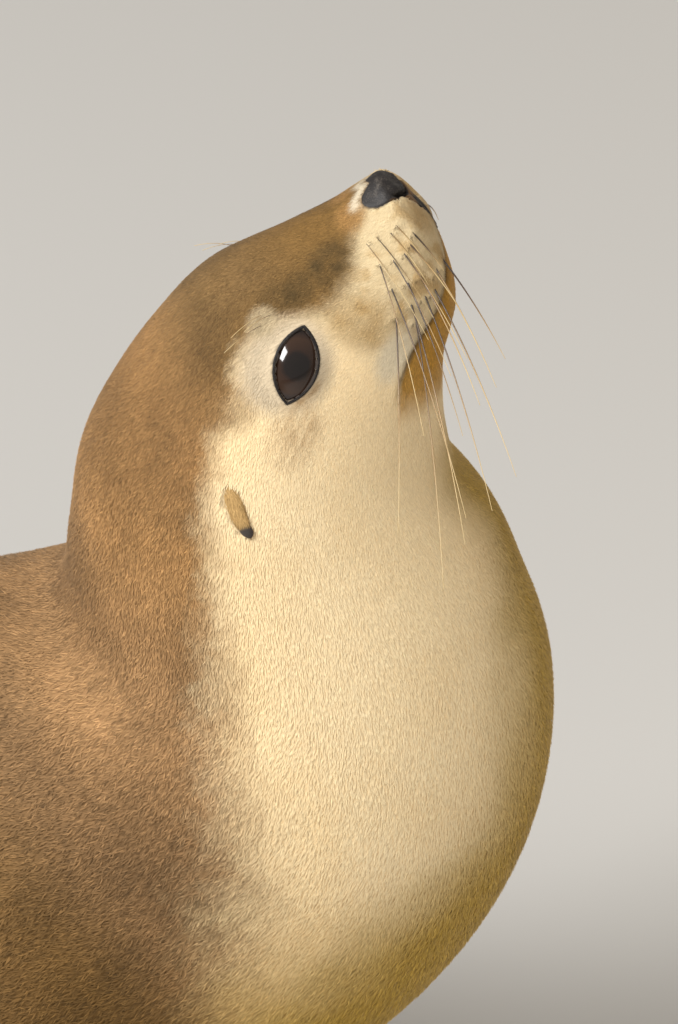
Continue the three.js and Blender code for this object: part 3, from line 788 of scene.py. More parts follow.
def markings(points, at, turn, limb):
    count, head, away = len(points), toHead(points), np.abs(turn)
    behind, height = head[:, 0], head[:, 2]
    sideways = head[:, 1] - noseShift(behind)
    mirrored = np.stack([behind, np.abs(sideways), height], -1)
    onHead = 1 - smoothStep(at, 190, 240)
    fine, small = mottle(points, 3.2, 1), mottle(points, 7, 2)
    wide, broad = mottle(points, 26, 3), mottle(points, 70, 4)
    face = {name: spot(mirrored, *place) for name, place in faceSpots.items()}
    around = np.stack([at, backGirth * away], -1)
    back = {name: spot(around, *place) for name, place in backSpots.items()}
    # the back, from the snout to the tail
    # the low flank behind the shoulder darkens: its own darker fur, and painted shade on the side under the
    # shoulder
    low = (smoothStep(at, 395, 440) * smoothStep(away + 0.03 * broad, 0.16, 0.27)
           * (1 - smoothStep(at, 520, 760)))
    colour = layered(
        plain("snout", count),
        ("forehead", smoothStep(at, 35, 80) * (1 - smoothStep(away, 0.04, 0.13) * 0.4)),
        ("crown", smoothStep(at, 95, 165)),
        ("nape", smoothStep(at, 200, 300)),
        ("back", smoothStep(at, 420, 620)),
        ("flank", smoothStep(at, 380, 450) * smoothStep(away, 0.06, 0.2)),
        ("flankDarkAndShade", 0.75 * low),
        ("tail", smoothStep(at, 1300, 1440)))
    colour *= (1 + 0.18 * wide + 0.1 * broad + 0.09 * small + 0.07 * fine)[:, None]
    # painted highlight on the paler crown and back of the head, painted light over the nape's fold, and
    # painted shade over a darker patch of the back
    light = face["crown"] + face["hindHead"] + (0.7 * back["foldPaintedLight"] + 0.6 * back["napePaintedLight"])
    colour *= (1 + 0.4 * light - 0.28 * back["backDarkAndShade"])[:, None]
    # the pale side
    edge = np.interp(at, *zip(*brownEdge)) + 0.006 * wide + 0.006 * small + 0.006 * fine
    soft = np.interp(at, *zip(*edgeSoftness))
    pale = smoothStep(away, edge - soft, edge + soft * 1.3)
    cream = layered(
        plain("cream", count),
        ("creamDeep", 0.5 * smoothStep(away - edge, 0.1, 0.02) + 0.25 * smoothStep(wide, 0, 1)),
        ("muzzle", 1 - smoothStep(at, 58, 84)),
        ("belly", smoothStep(at + 60 * away, 350, 470)))
    colour = colour + (cream - colour) * pale[:, None]
    # the underside of the throat and chest turns gold: its own colour, with painted shade where it faces down
    goldAndShade = np.interp(at, *zip(*goldEdge)) + 0.01 * wide
    # the face
    pad, gap, below = padReach(head[:, 1], height), eyeGap(head), underMouth(head)
    dark = np.maximum(np.maximum(face["snoutSide"], face["beforeEye"]), 0.6 * face["overEye"])
    streaks = 0.55 + 0.45 * mottle(head * (0.18, 0.75, 0.75), 1.6, 12)
    underLid = hump(gap, 3.6, 2.6) * face["underLid"]
    tan = smoothStep(small + 0.5 * fine, 0.05, 0.75) * (1 - smoothStep(at, 56, 74)) * pale
    overPad = hump(pad, 1.6, 1.3) * smoothStep(height, 5, 9) * (1 - smoothStep(np.abs(sideways), 7, 13))
    lowMuzzle = smoothStep(-height, -4, 25) * (1 - smoothStep(behind, 46, 66)) * pale
    beds = whiskerBulge(head, 2.4) * onHead
    jaw = smoothStep(below, -0.5, 1.5) * (1 - smoothStep(behind + 0.25 * below, 86, 106)) * (behind < 130)
    lips = hump(below, -0.6, 2.3 + 0.8 * small) * (1 - smoothStep(behind, 70, 98)) * (behind < 110)
    patches = smoothStep(mottle(points, 13, 9), -0.35, 0.2)
    philtrum = hump(sideways, 0, 2.4) * smoothStep(-height, 20, 26) * (1 - smoothStep(-height, 38, 43))
    colour = layered(
        colour,
        ("goldAndShade", 0.9 * smoothStep(away, goldAndShade - 0.075, goldAndShade + 0.04) * smoothStep(at, 95, 140)),
        ("olive", 0.9 * dark * (0.8 + 0.35 * small + 0.3 * fine)),
        ("cheekBrown", 0.6 * face["behindEye"] * onHead),
        ("ring", 0.95 * face["eyeRing"] * onHead),
        ("brow", 0.8 * face["brow"] * onHead),
        ("underEye", 0.95 * streaks * face["cheek"] * onHead),
        ("cheekBrown", underLid * (0.8 + 0.4 * fine) * onHead),
        ("muzzleTan", (0.62 + 0.2 * small) * face["muzzleSide"]),
        ("muzzleTan", 0.6 * tan),
        ("muzzleTan", 0.75 * face["underNose"]),
        ("white", 0.75 * face["mouthCorner"]),
        ("rust", 0.85 * face["noseTop"]),
        ("white", 0.85 * overPad * (behind < 40)),
        ("muzzleTan", (0.12 + 0.4 * small + 0.4 * fine - 0.4 * beds) * lowMuzzle),
        ("jawDark", 0.7 * smoothStep(whiskerBulge(head, 0.75), 0.35, 0.8) * (at < 80)),
        ("jaw", 0.9 * jaw * (1 - 0.5 * smoothStep(below, 26, 50))),
        ("jaw", 0.55 * jaw * smoothStep(small, 0, 0.6)),
        ("jawDark", lips * (0.5 + 0.45 * patches)),
        ("bare", 0.9 * philtrum * (behind < 20)),
        ("bare", smoothStep(-pad, -0.6, 1.2) * (behind < 30)),
        ("bare", (1 - smoothStep(gap, 0.4, 1.6)) * onHead),
        ("cream", 0.55 * (face["ear"] * onHead)))
    # the limbs and the ears
    _, onFlipper, onEar = whichPart(limb)
    arm = plain("arm", count) * (1 + 0.15 * wide + 0.1 * small)[:, None]
    arm = layered(arm, ("bare", smoothStep(at + 0.04 * wide, 0.3, 0.5)))
    leaf = layered(plain("ear", count), ("earTip", smoothStep(at, 0.7, 0.82)))
    colour = np.clip(np.where(onFlipper[:, None], arm, colour), 0.01, 0.95)
    return np.where(onEar[:, None], leaf, colour)


# the layout of the skin's own unwrap: the body's tube, then the flippers and the ears beside it
layout = {
    "bodyWide": 0.62, "bodyTall": 0.99, "bodyLow": 0.002,
    "limbStart": 0.65, "limbWide": 0.08, "limbInner": 0.95,
    "foreTall": 0.56, "hindTall": 0.34, "hindGap": 0.02, "rightStart": 0.17, "underStart": 0.085,
    "earWide": 0.1, "earLow": 0.94, "earTall": 0.055, "margin": 0.0005,
}


def unwrap(at, turn, limb):
    kind = np.floor(limb + 0.05)
    start = layout["limbStart"] + np.where(limb % 1 < 0.12, 0.0, layout["rightStart"])
    under = turn > 1.2
    across = np.where(under, turn - 2.5, turn)
    u = (start + np.where(under, layout["underStart"], 0)
         + (across + 1) / 2 * layout["limbWide"] * layout["limbInner"])
    tall = np.where(kind == 1, layout["foreTall"], layout["hindTall"])
    v = np.where(kind == 1, 0.0, layout["foreTall"] + layout["hindGap"]) + at * tall
    u = np.where(kind == 3, start + turn * layout["earWide"], u)
    v = np.where(kind == 3, layout["earLow"] + at * layout["earTall"], v)
    onBody = whichPart(limb)[0]
    u = np.where(onBody, (turn + 0.5) * layout["bodyWide"], u)
    v = np.where(onBody, layout["bodyLow"] + at / bodyEnd * layout["bodyTall"], v)
    return np.stack([u, v], -1)


bareFrom = (0.3, 0.5)  # the flippers lose their fur over this share of their length
grain = {"limbGirth": 160, "limbLength": 420, "leastGirth": 120}  # what the second map measures, in mm


def paintSkin(piece):
    points = readPoints(piece)
    at, turn, limb = readValues(piece, "at", "turn", "limb")
    colour = markings(points, at, turn, limb)
    bare = np.where(whichPart(limb)[1], smoothStep(at, *bareFrom), 0)
    addValues(piece, hide=np.concatenate([colour, np.ones((len(colour), 1))], 1), bare=bare)
    corners, starts = readAll(piece.data.loops, "vertex_index"), readAll(piece.data.polygons, "loop_start")
    first = np.repeat(corners[starts], np.diff(np.append(starts, len(corners))))
    cornerTurn = turn[corners]
    wraps = (limb[corners] < 0.6) & (np.abs(cornerTurn - turn[first]) > 0.4)
    cornerTurn = np.where(wraps, cornerTurn + np.sign(turn[first]), cornerTurn)
    chart = unwrap(at[corners], cornerTurn, np.where(limb[first] < 0.6, 0, limb[first]))
    addMap(piece, "OFBake", np.clip(chart, layout["margin"], 1 - layout["margin"]))
    # a second map in metres, on which the grain of the coat runs
    section = sectionAt(at[corners])
    girth = (section[:, 2] - section[:, 3] + 2 * section[:, 5]) / 2 * np.pi
    girth = np.where(limb[corners] > 0.6, grain["limbGirth"], np.clip(girth, grain["leastGirth"], None))
    length = np.where(limb[corners] > 0.6, grain["limbLength"] * at[corners], at[corners])
    addMap(piece, "grain", np.stack([cornerTurn * girth, length], -1) * mm)


paintSkin(skin)
print("skin painted")


# materials
def plug(tree, slot, value):
    if isinstance(value, Wire):
        tree.links.new(value.socket, slot)
    else:
        slot.default_value = value


class Wire:
    def __init__(self, tree, socket):
        self.tree, self.socket = tree, socket

    def maths(self, operation, other, swapped=False):
        node = self.tree.nodes.new("ShaderNodeMath")
        node.operation = operation
        for slot, value in zip(node.inputs, (other, self) if swapped else (self, other)):
            plug(self.tree, slot, value)
        return Wire(self.tree, node.outputs[0])

    def __add__(self, other):
        return self.maths("ADD", other)

    def __sub__(self, other):
        return self.maths("SUBTRACT", other)

    def __rsub__(self, other):
        return self.maths("SUBTRACT", other, True)

    def __mul__(self, other):
        return self.maths("MULTIPLY", other)

    __radd__, __rmul__ = __add__, __mul__


class Finish:
    def __init__(self, name, **sockets):
        self.material = bpy.data.materials.new(name)
        self.material.use_nodes = True
        self.tree = self.material.node_tree
        self.shader = self.tree.nodes["Principled BSDF"]
        self.feed(self.shader, sockets)

    def feed(self, node, sockets):
        for key, value in sockets.items():
            plug(self.tree, node.inputs[key if isinstance(key, int) else key.replace("_", " ")], value)

    def node(self, kind, settings=None, out=0, **sockets):
        node = self.tree.nodes.new(kind)
        settings = dict(settings or {})
        stops = settings.pop("stops", None)
        for key, value in settings.items():
            setattr(node, key, value)
        if stops:
            ramp = node.color_ramp
            while len(ramp.elements) < len(stops):
                ramp.elements.new(0.5)
            for element, (place, tone) in zip(ramp.elements, stops):
                element.position, element.color = place, (*tone, 1)
        self.feed(node, sockets)
        return Wire(self.tree, node.outputs[out])

    def attribute(self, name, out=2):
        return self.node("ShaderNodeAttribute", {"attribute_name": name}, out)

    def place(self):
        return self.node("ShaderNodeTexCoord", out=3)

    def noise(self, place, scale, detail, **settings):
        return self.node("ShaderNodeTexNoise", settings, Vector=place, Scale=scale, Detail=detail)

    def ramp(self, share, stops):
        return self.node("ShaderNodeValToRGB", {"stops": stops}, Fac=share)

    def bump(self, height, strength, distance):
        return self.node("ShaderNodeBump", Height=height, Strength=strength, Distance=distance)

    def shaded(self, **sockets):
        self.feed(self.shader, sockets)
        return self.material

    def blended(self, colour, tone, share, way="MIX"):
        node = self.tree.nodes.new("ShaderNodeMix")
        node.data_type, node.blend_type = "RGBA", way
        self.feed(node, {0: share, 6: colour, 7: tone})
        return Wire(self.tree, node.outputs[2])

    def tinted(self, colour, tone, share):
        return self.blended(colour, tone, share, "MULTIPLY")


coatLook = {
    "sheen": {"Sheen_Weight": 0.22, "Sheen_Roughness": 0.4, "Sheen_Tint": (1, 0.75, 0.5, 1),
              "Specular_IOR_Level": 0.22},
    "roughness": 0.82, "bareRoughness": 0.4, "grainScale": (900, 150, 1), "grainShade": 0.3,
    "grainStops": [(0.3, (0.55, 0.5, 0.45)), (0.7, (1.1, 1.08, 1.05))],
    "tuftStops": [(0.0, (0.9, 0.87, 0.83)), (0.5, (1, 1, 1))],  # from the root of a tuft outwards
    "wrinkleScale": 160, "bump": 0.35, "bumpDistance": 0.0008,
}


def skinFinish():
    look = coatLook
    m = Finish("hide", **look["sheen"])
    hide, bare = m.attribute("hide", 0), m.attribute("bare")
    grainMap = m.node("ShaderNodeUVMap", {"uv_map": "grain"})
    scaled = m.node("ShaderNodeMapping", Vector=grainMap, Scale=look["grainScale"])
    fibres = m.noise(scaled, 1.0, 2.0, noise_dimensions="2D")
    place = m.place()
    creases = m.node(
        "ShaderNodeTexVoronoi", {"feature": "DISTANCE_TO_EDGE"}, Vector=place, Scale=look["wrinkleScale"])
    pebbles = m.noise(place, look["wrinkleScale"] * 2.5, 4.0)
    base = m.tinted(hide, m.ramp(fibres, look["grainStops"]), (1 - bare) * look["grainShade"])
    height = fibres * (1 - bare) + (creases * 2 + pebbles * 0.5) * bare
    rough = (1 - bare) * look["roughness"] + bare * (look["bareRoughness"] + pebbles * 0.2)
    return m.shaded(
        Base_Color=base, Roughness=rough, Normal=m.bump(height, look["bump"], look["bumpDistance"]))


def furFinish():
    m = Finish("coat", Roughness=coatLook["roughness"], **coatLook["sheen"])
    ramp = m.ramp(m.attribute("along"), coatLook["tuftStops"])
    return m.shaded(Base_Color=m.tinted(m.attribute("hide", 0), ramp, 1.0))


coverWith(skin, skinFinish())
coatFinish = furFinish()

# the coat: flat tufts that lie back along the body
coat = {
    "tufts": 470000, "pieceTufts": 66000,
    # at, tufts in a square mm, length, half width, lift of the middle and of the tip
    "rows": [(0, 2.3, 2.0, 0.15, 0.2, 0.34), (60, 2.1, 2.6, 0.19, 0.3, 0.5), (130, 1.5, 3.2, 0.24, 0.42, 0.7),
             (200, 0.85, 4.0, 0.33, 0.55, 0.95), (330, 0.55, 4.8, 0.42, 0.7, 1.2),
             (470, 0.4, 6.0, 0.52, 0.9, 1.5), (600, 0.14, 10, 0.9, 1.3, 2.0),
             (1100, 0.11, 11, 1.0, 1.3, 2.1), (1420, 0.15, 8, 0.8, 1.0, 1.6),
             (1535, 0.3, 4.5, 0.5, 0.4, 0.8)],
    "flipperAs": 250.0, "earAs": 60.0,  # the tufts of the limbs are those of the body at these places
    "flipperDensity": 0.3, "earDensity": 1.2, "nearEye": 0.3,
    "lengthSpread": 0.3, "sunk": 0.25, "floor": 0.1, "middleWidth": 0.85,
    "spread": 0.42, "paleSpread": 0.14, "wideSwirl": 0.22, "fineSwirl": 0.12,
    "shade": 0.2, "paleShade": 0.04, "tilt": 0.12, "ownFacing": 0.16, "calm": 0.65,
    "bakePatch": [(-0.0015, -0.0015), (0.0015, -0.0015), (-0.0015, 0.0003), (0.0015, 0.0003), (0, 0.0015)],
}


def coatValues(at):
    places, *columns = zip(*coat["rows"])
    return [np.interp(at, places, column) for column in columns]


def vertexNormals(points, tris):
    across = np.cross(points[tris[:, 1]] - points[tris[:, 0]], points[tris[:, 2]] - points[tris[:, 0]])
    total = np.stack([sum(np.bincount(tris[:, c], across[:, k], len(points)) for c in range(3))
                      for k in range(3)], -1)
    return unit(total), np.linalg.norm(across, axis=1) / 2


def tuftDensity(points, at, limb):
    head = toHead(points)
    onBody, onFlipper, onEar = whichPart(limb)
    density = coatValues(at)[0]
    density = np.where(onFlipper, coat["flipperDensity"] * (1 - smoothStep(at, 0.24, 0.46)), density)
    density = np.where(onEar, coat["earDensity"] * (1 - smoothStep(at, 0.68, 0.76)), density)
    # none on the eyes, on the nose or between the lips
    keep = smoothStep(eyeGap(head), 1.0, 1.7)
    keep *= 1 - smoothStep(-padReach(head[:, 1], head[:, 2]), -0.4, 0.2) * (head[:, 0] < nosePad["bedEnd"])
    keep *= 1 - hump(underMouth(head), 0, 1.6) * (head[:, 0] < mouth["end"])
    return density * np.where(onBody & (at < 210), keep, 1)


def growCoat(skin):
    skin.data.calc_loop_triangles()
    points, tris = readPoints(skin), readAll(skin.data.loop_triangles, "vertices", 3)
    normals, areas = vertexNormals(points, tris)
    at, turn, limb = readValues(skin, "at", "turn", "limb")
    lie = readAll(skin.data.attributes["lie"].data, "vector", 3, np.float32).astype(float)
    lie = unit(lie - normals * (lie * normals).sum(1, keepdims=True))
    # where the tufts stand
    expected = np.cumsum(tuftDensity(points, at, limb)[tris].mean(1) * areas)
    count = min(int(expected[-1]), coat["tufts"])
    print("tufts asked", int(expected[-1]), "made", count)
    drawn = (np.arange(count) + rng.random(count)) / count * expected[-1]
    chosen = tris[np.minimum(np.searchsorted(expected, drawn), len(tris) - 1)]
    u, v = rng.random(count), rng.random(count)
    u, v = np.where(u + v > 1, 1 - u, u), np.where(u + v > 1, 1 - v, v)
    share = np.stack([1 - u - v, u, v], -1)[..., None]
    root = (points[chosen] * share).sum(1)
    normal = unit((normals[chosen] * share).sum(1))
    back = unit((lie[chosen] * share).sum(1))
    rootAt = (at[chosen] * share[..., 0]).sum(1)
    rootLimb = limb[chosen[:, 0]]
    _, onFlipper, onEar = whichPart(rootLimb)
    rootTurn = turn[chosen]
    wraps = np.abs(rootTurn - rootTurn[:, :1]) > 0.4
    rootTurn = (np.where(wraps, rootTurn + np.sign(rootTurn[:, :1]), rootTurn) * share[..., 0]).sum(1)
    colour = markings(
        root, rootAt, np.where(np.abs(rootTurn) > 0.5, 1 - np.abs(rootTurn), rootTurn), rootLimb)
    paleness = np.clip((colour[:, 1] - 0.2) / 0.35, 0, 1)
    # their size
    furAt = np.where(onEar, coat["earAs"], np.where(rootLimb > 0.6, coat["flipperAs"], rootAt))
    length, half, middleLift, tipLift = coatValues(furAt)[1:]
    gap = np.where(rootAt < 210, eyeGap(toHead(root)), unmarked)
    short = coat["nearEye"] + (1 - coat["nearEye"]) * smoothStep(gap, 2, 10)
    flipperShrink = np.where(onFlipper, 1 - 0.6 * smoothStep(rootAt, 0.2, 0.45), 1)
    length = length * short * (flipperShrink * (1 + coat["lengthSpread"] * (rng.random(count) * 2 - 1)))
    middleLift = middleLift * short * flipperShrink
    tipLift = tipLift * short * flipperShrink * (0.6 + 0.8 * rng.random(count))
    # their lie, which is calmer where the coat is pale
    swing = rng.normal(0, 1, count) * blend(coat["spread"], coat["paleSpread"], paleness)
    swing = swing + coat["wideSwirl"] * mottle(root, 22, 21) + coat["fineSwirl"] * mottle(root, 6, 22)
    back = unit(back + np.cross(back, normal) * swing[:, None])
    side = unit(np.cross(back, normal)) * (half * (0.5 + 0.5 * short))[:, None]
    sunk = root - normal * coat["sunk"]
    middle = root + back * (length * 0.5)[:, None] + normal * middleLift[:, None]
    tip = root + back * length[:, None] + normal * tipLift[:, None]
    narrow = side * coat["middleWidth"]
    shape = np.stack([sunk - side, sunk + side, middle - narrow, middle + narrow, tip], 1)
    shape[..., 2] = np.maximum(shape[..., 2], coat["floor"])
    # their shade and the way they face the light
    shade = 1 + rng.normal(0, 1, count) * blend(coat["shade"], coat["paleShade"], paleness)
    colour = np.clip(colour * np.clip(shade, 0.55, 1.5)[:, None], 0.008, 0.97)
    ruffle = (1 - coat["calm"] * paleness)[:, None]
    facing = unit(normal * (1 - coat["ownFacing"]) + unit(np.cross(back, side)) * coat["ownFacing"] * ruffle
                  + unit(side) * rng.normal(0, coat["tilt"], (count, 1)) * ruffle)
    chart, patch = unwrap(rootAt, rootTurn, rootLimb), np.array(coat["bakePatch"])
    pieces = []
    order = np.argsort(np.where(rootLimb > 0.6, 2000 + rootLimb, rootAt), kind="stable")
    for number, part in enumerate(np.array_split(order, math.ceil(count / coat["pieceTufts"]))):
        start = (np.arange(len(part)) * 5)[:, None]
        piece = meshPiece("coat_" + str(number + 1), shape[part].reshape(-1, 3),
                          [start + [0, 1, 3, 2], start + [2, 3, 4]])
        tone = np.concatenate([np.repeat(colour[part], 5, 0), np.ones((len(part) * 5, 1))], 1)
        addValues(piece, hide=tone, along=np.tile([0, 0, 0.6, 0.6, 1], len(part)))
        corners = readAll(piece.data.loops, "vertex_index")
        addMap(piece, "OFBake", np.clip(chart[part][corners // 5] + patch[corners % 5], 0, 1))
        piece.data.normals_split_custom_set_from_vertices(np.repeat(facing[part], 5, 0))
        piece.data.materials.append(coatFinish)
        pieces.append(piece)
    return pieces


coatPieces = growCoat(skin)
print("coat grown")

# the eyes
eyeLook = {
    "segments": 112, "rings": 72, "corneaBulge": 1.3, "corneaReach": 38, "roughness": 0.12,
    "streakScale": 420.0, "streaks": 0.05,
    # from the pupil over the iris to the edge, by the angle from the line of sight
    "stops": [(0.0, (0.008, 0.006, 0.005)), (0.2, (0.01, 0.007, 0.006)), (0.27, (0.026, 0.013, 0.008)),
              (0.44, (0.036, 0.018, 0.01)), (0.52, (0.014, 0.008, 0.006)), (0.75, (0.006, 0.005, 0.005))],
}


def makeEye(side):
    centre, along, across, outwards = eyeFrame(side)
    bpy.ops.mesh.primitive_uv_sphere_add(
        segments=eyeLook["segments"], ring_count=eyeLook["rings"], radius=eye["radius"] * mm)
    ball = bpy.context.object
    ball.name = "eyeball_" + sideName[side]
    points = readPoints(ball)
    gaze = np.degrees(np.arctan2(np.hypot(points[:, 0] * eye["stretch"], points[:, 1]), points[:, 2]))
    bulge = eyeLook["corneaBulge"] * np.clip(1 - (gaze / eyeLook["corneaReach"]) ** 2, 0, 1) ** 1.5
    points *= (1 + bulge / eye["radius"])[:, None]
    points[:, 0] *= eye["stretch"]
    axes = np.stack([along, across, outwards])
    if np.linalg.det(axes @ headAxes) < 0:
        axes[1] *= -1
    ball.data.vertices.foreach_set("co", (fromHead(points @ axes + centre) * mm).ravel())
    ball.data.polygons.foreach_set("use_smooth", np.ones(len(ball.data.polygons), bool))
    ball.data.update()
    addValues(ball, gaze=gaze / 90)
    return ball


def eyeFinish():
    m = Finish("eye", Coat_Weight=0.45, Coat_Roughness=0.03, Specular_IOR_Level=0.3)
    streaks = m.noise(m.place(), eyeLook["streakScale"], 3.0)
    ramp = m.ramp(m.attribute("gaze") + (streaks - 0.5) * eyeLook["streaks"], eyeLook["stops"])
    return m.shaded(Base_Color=ramp, Roughness=eyeLook["roughness"])


def finished(material, *pieces):
    for piece in pieces:
        piece.data.materials.append(material)
    return pieces


eyeballs = finished(eyeFinish(), makeEye(-1), makeEye(1))
print("eyes made")

# the lids' dark rims
rim = {
    "steps": 144, "outer": 1.2, "thin": 0.75, "thick": 1.25,  # broad at the inner corner and thin behind
    "loops": (1, 0.75, 0.35, -0.12), "sunk": 0.7, "lift": 0.25,
    "innerLong": 0.94, "innerWide": 0.93, "innerLoops": (0.3, 0.6, 0.85, 1.0), "fineness": 3, "start": 40,
    "stops": [(0.35, (0.006, 0.005, 0.005)), (0.75, (0.03, 0.024, 0.02))], "pebbleScale": 900.0,
}


def castOnSkin(place, outwards, distance):
    way = outwards @ headAxes
    start = fromHead([place])[0] + way * distance
    hit, found, _, _ = skin.ray_cast(tuple(start * mm), tuple(-way))
    return hit, np.array(found) / mm, start


def skinDepth(places, outwards):
    depths = []
    for place in places:
        hit, found, start = castOnSkin(place, outwards, rim["start"])
        depths.append(rim["start"] - np.linalg.norm(found - start) if hit else 0)
    return np.array(depths)


def smoothLoop(values, width):
    window = np.hanning(2 * width + 1)
    around = np.concatenate([values[-width:], values, values[:width]])
    return np.convolve(around, window / window.sum(), "valid")


def makeLidRim(side):
    centre, along, across, outwards = eyeFrame(side)
    bearing = np.linspace(0, 2 * np.pi, rim["steps"], endpoint=False)
    u = np.cos(bearing)
    a, b = slitAlong(u), slitAcross(u) * np.sign(np.sin(bearing))
    way = np.stack([u * 0.9, np.sin(bearing)], -1)
    way /= np.linalg.norm(way, axis=1, keepdims=True)
    # the band starts under the fur, rolls over the edge of the lid and goes down on to the ball
    broad = blend(rim["thin"], rim["thick"], 0.5 + 0.5 * u)
    loops = []
    for share in rim["loops"]:
        out = share * rim["outer"] * broad
        x, y = a + way[:, 0] * out, b + way[:, 1] * out
        loops.append((x, y, skinDepth(centre + x[:, None] * along + y[:, None] * across, outwards)))
    outerDepth = smoothLoop(loops[0][2], 3)
    edgeDepth = smoothLoop(np.max([depth for _, _, depth in loops[:3]], 0), 8) + rim["lift"]
    crest = rim["lift"] * broad
    depths = (outerDepth - rim["sunk"], blend(outerDepth, edgeDepth, 0.5) + 0.15,
              blend(outerDepth, edgeDepth, 0.8) + crest, edgeDepth + crest)
    rings = [(x, y, depth) for (x, y, _), depth in zip(loops, depths)]
    innerA, innerB = a * rim["innerLong"], b * rim["innerWide"]
    ball = (eye["radius"] - rim["sunk"]) ** 2 - (innerA / eye["stretch"]) ** 2 - innerB ** 2
    ballDepth = np.sqrt(np.clip(ball, 9, None))
    for share in rim["innerLoops"]:
        rings.append((blend(a, innerA, share), blend(b, innerB, share),
                      blend(edgeDepth + crest, ballDepth, share ** 1.5)))
    profile = curveThrough(np.stack([np.stack(ring, -1).ravel() for ring in rings]))
    steps = np.linspace(0, len(rings) - 1, (len(rings) - 1) * rim["fineness"] + 1)
    band = np.stack([profile(step).reshape(-1, 3) for step in steps], 1)
    p = centre + band[..., :1] * along + band[..., 1:2] * across + band[..., 2:] * outwards
    rows, columns = p.shape[:2]
    index = np.arange(rows * columns).reshape(rows, columns)
    onward = np.roll(index, -1, axis=0)
    faces = np.stack([index[:, :-1], onward[:, :-1], onward[:, 1:], index[:, 1:]], -1).reshape(-1, 4)
    points = fromHead(p.reshape(-1, 3))
    corner = points[faces[columns * 10]]
    facing = np.cross(corner[1] - corner[0], corner[2] - corner[0]) @ (outwards @ headAxes)
    return meshPiece("lids_" + sideName[side], points, [faces if facing > 0 else faces[:, ::-1]])


def lidFinish():
    m = Finish("lid", Coat_Weight=0.08, Coat_Roughness=0.3, Specular_IOR_Level=0.3)
    pebbles = m.noise(m.place(), rim["pebbleScale"], 4.0)
    return m.shaded(Base_Color=m.ramp(pebbles, rim["stops"]), Roughness=0.48 + pebbles * 0.2,
                    Normal=m.bump(pebbles, 0.7, 0.0006))


lidRims = finished(lidFinish(), makeLidRim(-1), makeLidRim(1))
print("lids made")

# the front of the muzzle as a grid of depths, which the nose pad is laid over
muzzleGrid = {"step": 0.5, "size": 160, "left": -40, "low": -50, "fills": 60, "rounds": 3}


def aroundEach(heights):
    return np.stack([np.roll(heights, shift, axis) for axis in (0, 1) for shift in (-1, 1)])


def muzzleFront(y, z):
    ats = np.concatenate([np.linspace(0, 6, 25), np.linspace(6.5, 60, 90)])
    at, turn = np.meshgrid(ats, np.linspace(-0.5, 0.5, 401), indexing="ij")
    shell = toHead(bodyPoint(at, turn, -coatDepth(at)))
    shrink = np.linspace(0, 1, 30)[:, None, None]
    front = shell[0].mean(0) + (shell[0] - shell[0].mean(0)) * shrink
    front = front + np.array([-1, 0, 0]) * (body["frontBulge"] * np.sqrt(1 - shrink ** 2))
    cloud = np.concatenate([shell.reshape(-1, 3), front.reshape(-1, 3)])
    step, size, left, low = (muzzleGrid[name] for name in ("step", "size", "left", "low"))
    heights = np.full((size, size), np.nan)
    column = np.clip(((cloud[:, 1] - left) / step).astype(int), 0, size - 1)
    row = np.clip(((cloud[:, 2] - low) / step).astype(int), 0, size - 1)
    order = np.argsort(-cloud[:, 0])
    heights[row[order], column[order]] = cloud[order, 0]
    for _ in range(muzzleGrid["fills"]):
        around = aroundEach(heights)
        known = (~np.isnan(around)).sum(0)
        mean = np.nansum(around, 0) / np.maximum(known, 1)
        heights = np.where(np.isnan(heights) & (known > 0), mean, heights)
    heights = np.nan_to_num(heights, nan=30)
    for _ in range(muzzleGrid["rounds"]):
        heights = (heights * 2 + sum(aroundEach(heights))) / 6
    gy, gz = (np.clip((v - edge) / step - 0.5, 0, size - 2) for v, edge in ((y, left), (z, low)))
    iy, iz = gy.astype(int), gz.astype(int)
    fy, fz = gy - iy, gz - iz
    return ((heights[iz, iy] * (1 - fy) + heights[iz, iy + 1] * fy) * (1 - fz)
            + (heights[iz + 1, iy] * (1 - fy) + heights[iz + 1, iy + 1] * fy) * fz)


def makeNosePad():
    loop = padOutline(nosePad["spokes"])
    rings = np.linspace(0, 1, nosePad["rings"])
    # each ring runs between the outline and a short upright line, so that the strip of the lip is reached too
    core = np.stack([0 * loop[:, 0], np.clip(loop[:, 1], *nosePad["core"])], -1)
    flat = core[None] + (loop - core)[None] * rings[:, None, None]
    across, z = flat[..., 0], flat[..., 1]
    y = across + nosePad["shift"]
    x = muzzleFront(y, z)
    fold = np.zeros(x.shape)
    slit = nosePad["nostril"]
    roll = math.radians(slit["roll"])
    for side in (-1, 1):
        dy, dz = across - side * slit["side"], z - slit["height"]
        lengthwise = dy * side * math.sin(roll) + dz * math.cos(roll)
        crosswise = dy * side * math.cos(roll) - dz * math.sin(roll) + slit["curve"] * lengthwise ** 2
        hole = np.clip(1 - (lengthwise / slit["length"]) ** 2 - (crosswise / slit["width"]) ** 2, 0, 1)
        x = x + slit["depth"] * np.sqrt(hole)
        for place, half, height in slit["swells"]:
            swell = np.exp(-((crosswise - place) / half) ** 2 - (lengthwise / slit["swellLength"]) ** 2)
            x = x - height * swell
        fold = np.maximum(fold, smoothStep(crosswise, 1.4, 2.6) * (1 - smoothStep(np.abs(lengthwise), 9, 12)))
    x = x + nosePad["groove"] * hump(across, 0, nosePad["grooveHalfWidth"]) * smoothStep(-z, 2, 10)
    edge = smoothStep(rings, nosePad["skirtFrom"], 1.0)[:, None]
    x = x - nosePad["proud"] + edge ** 3 * nosePad["skirt"]
    piece = meshPiece("nosepad", fromHead(np.stack([x, y, z], -1).reshape(-1, 3)), [ringFaces(*x.shape)])
    addValues(piece, fold=fold.ravel())
    return piece


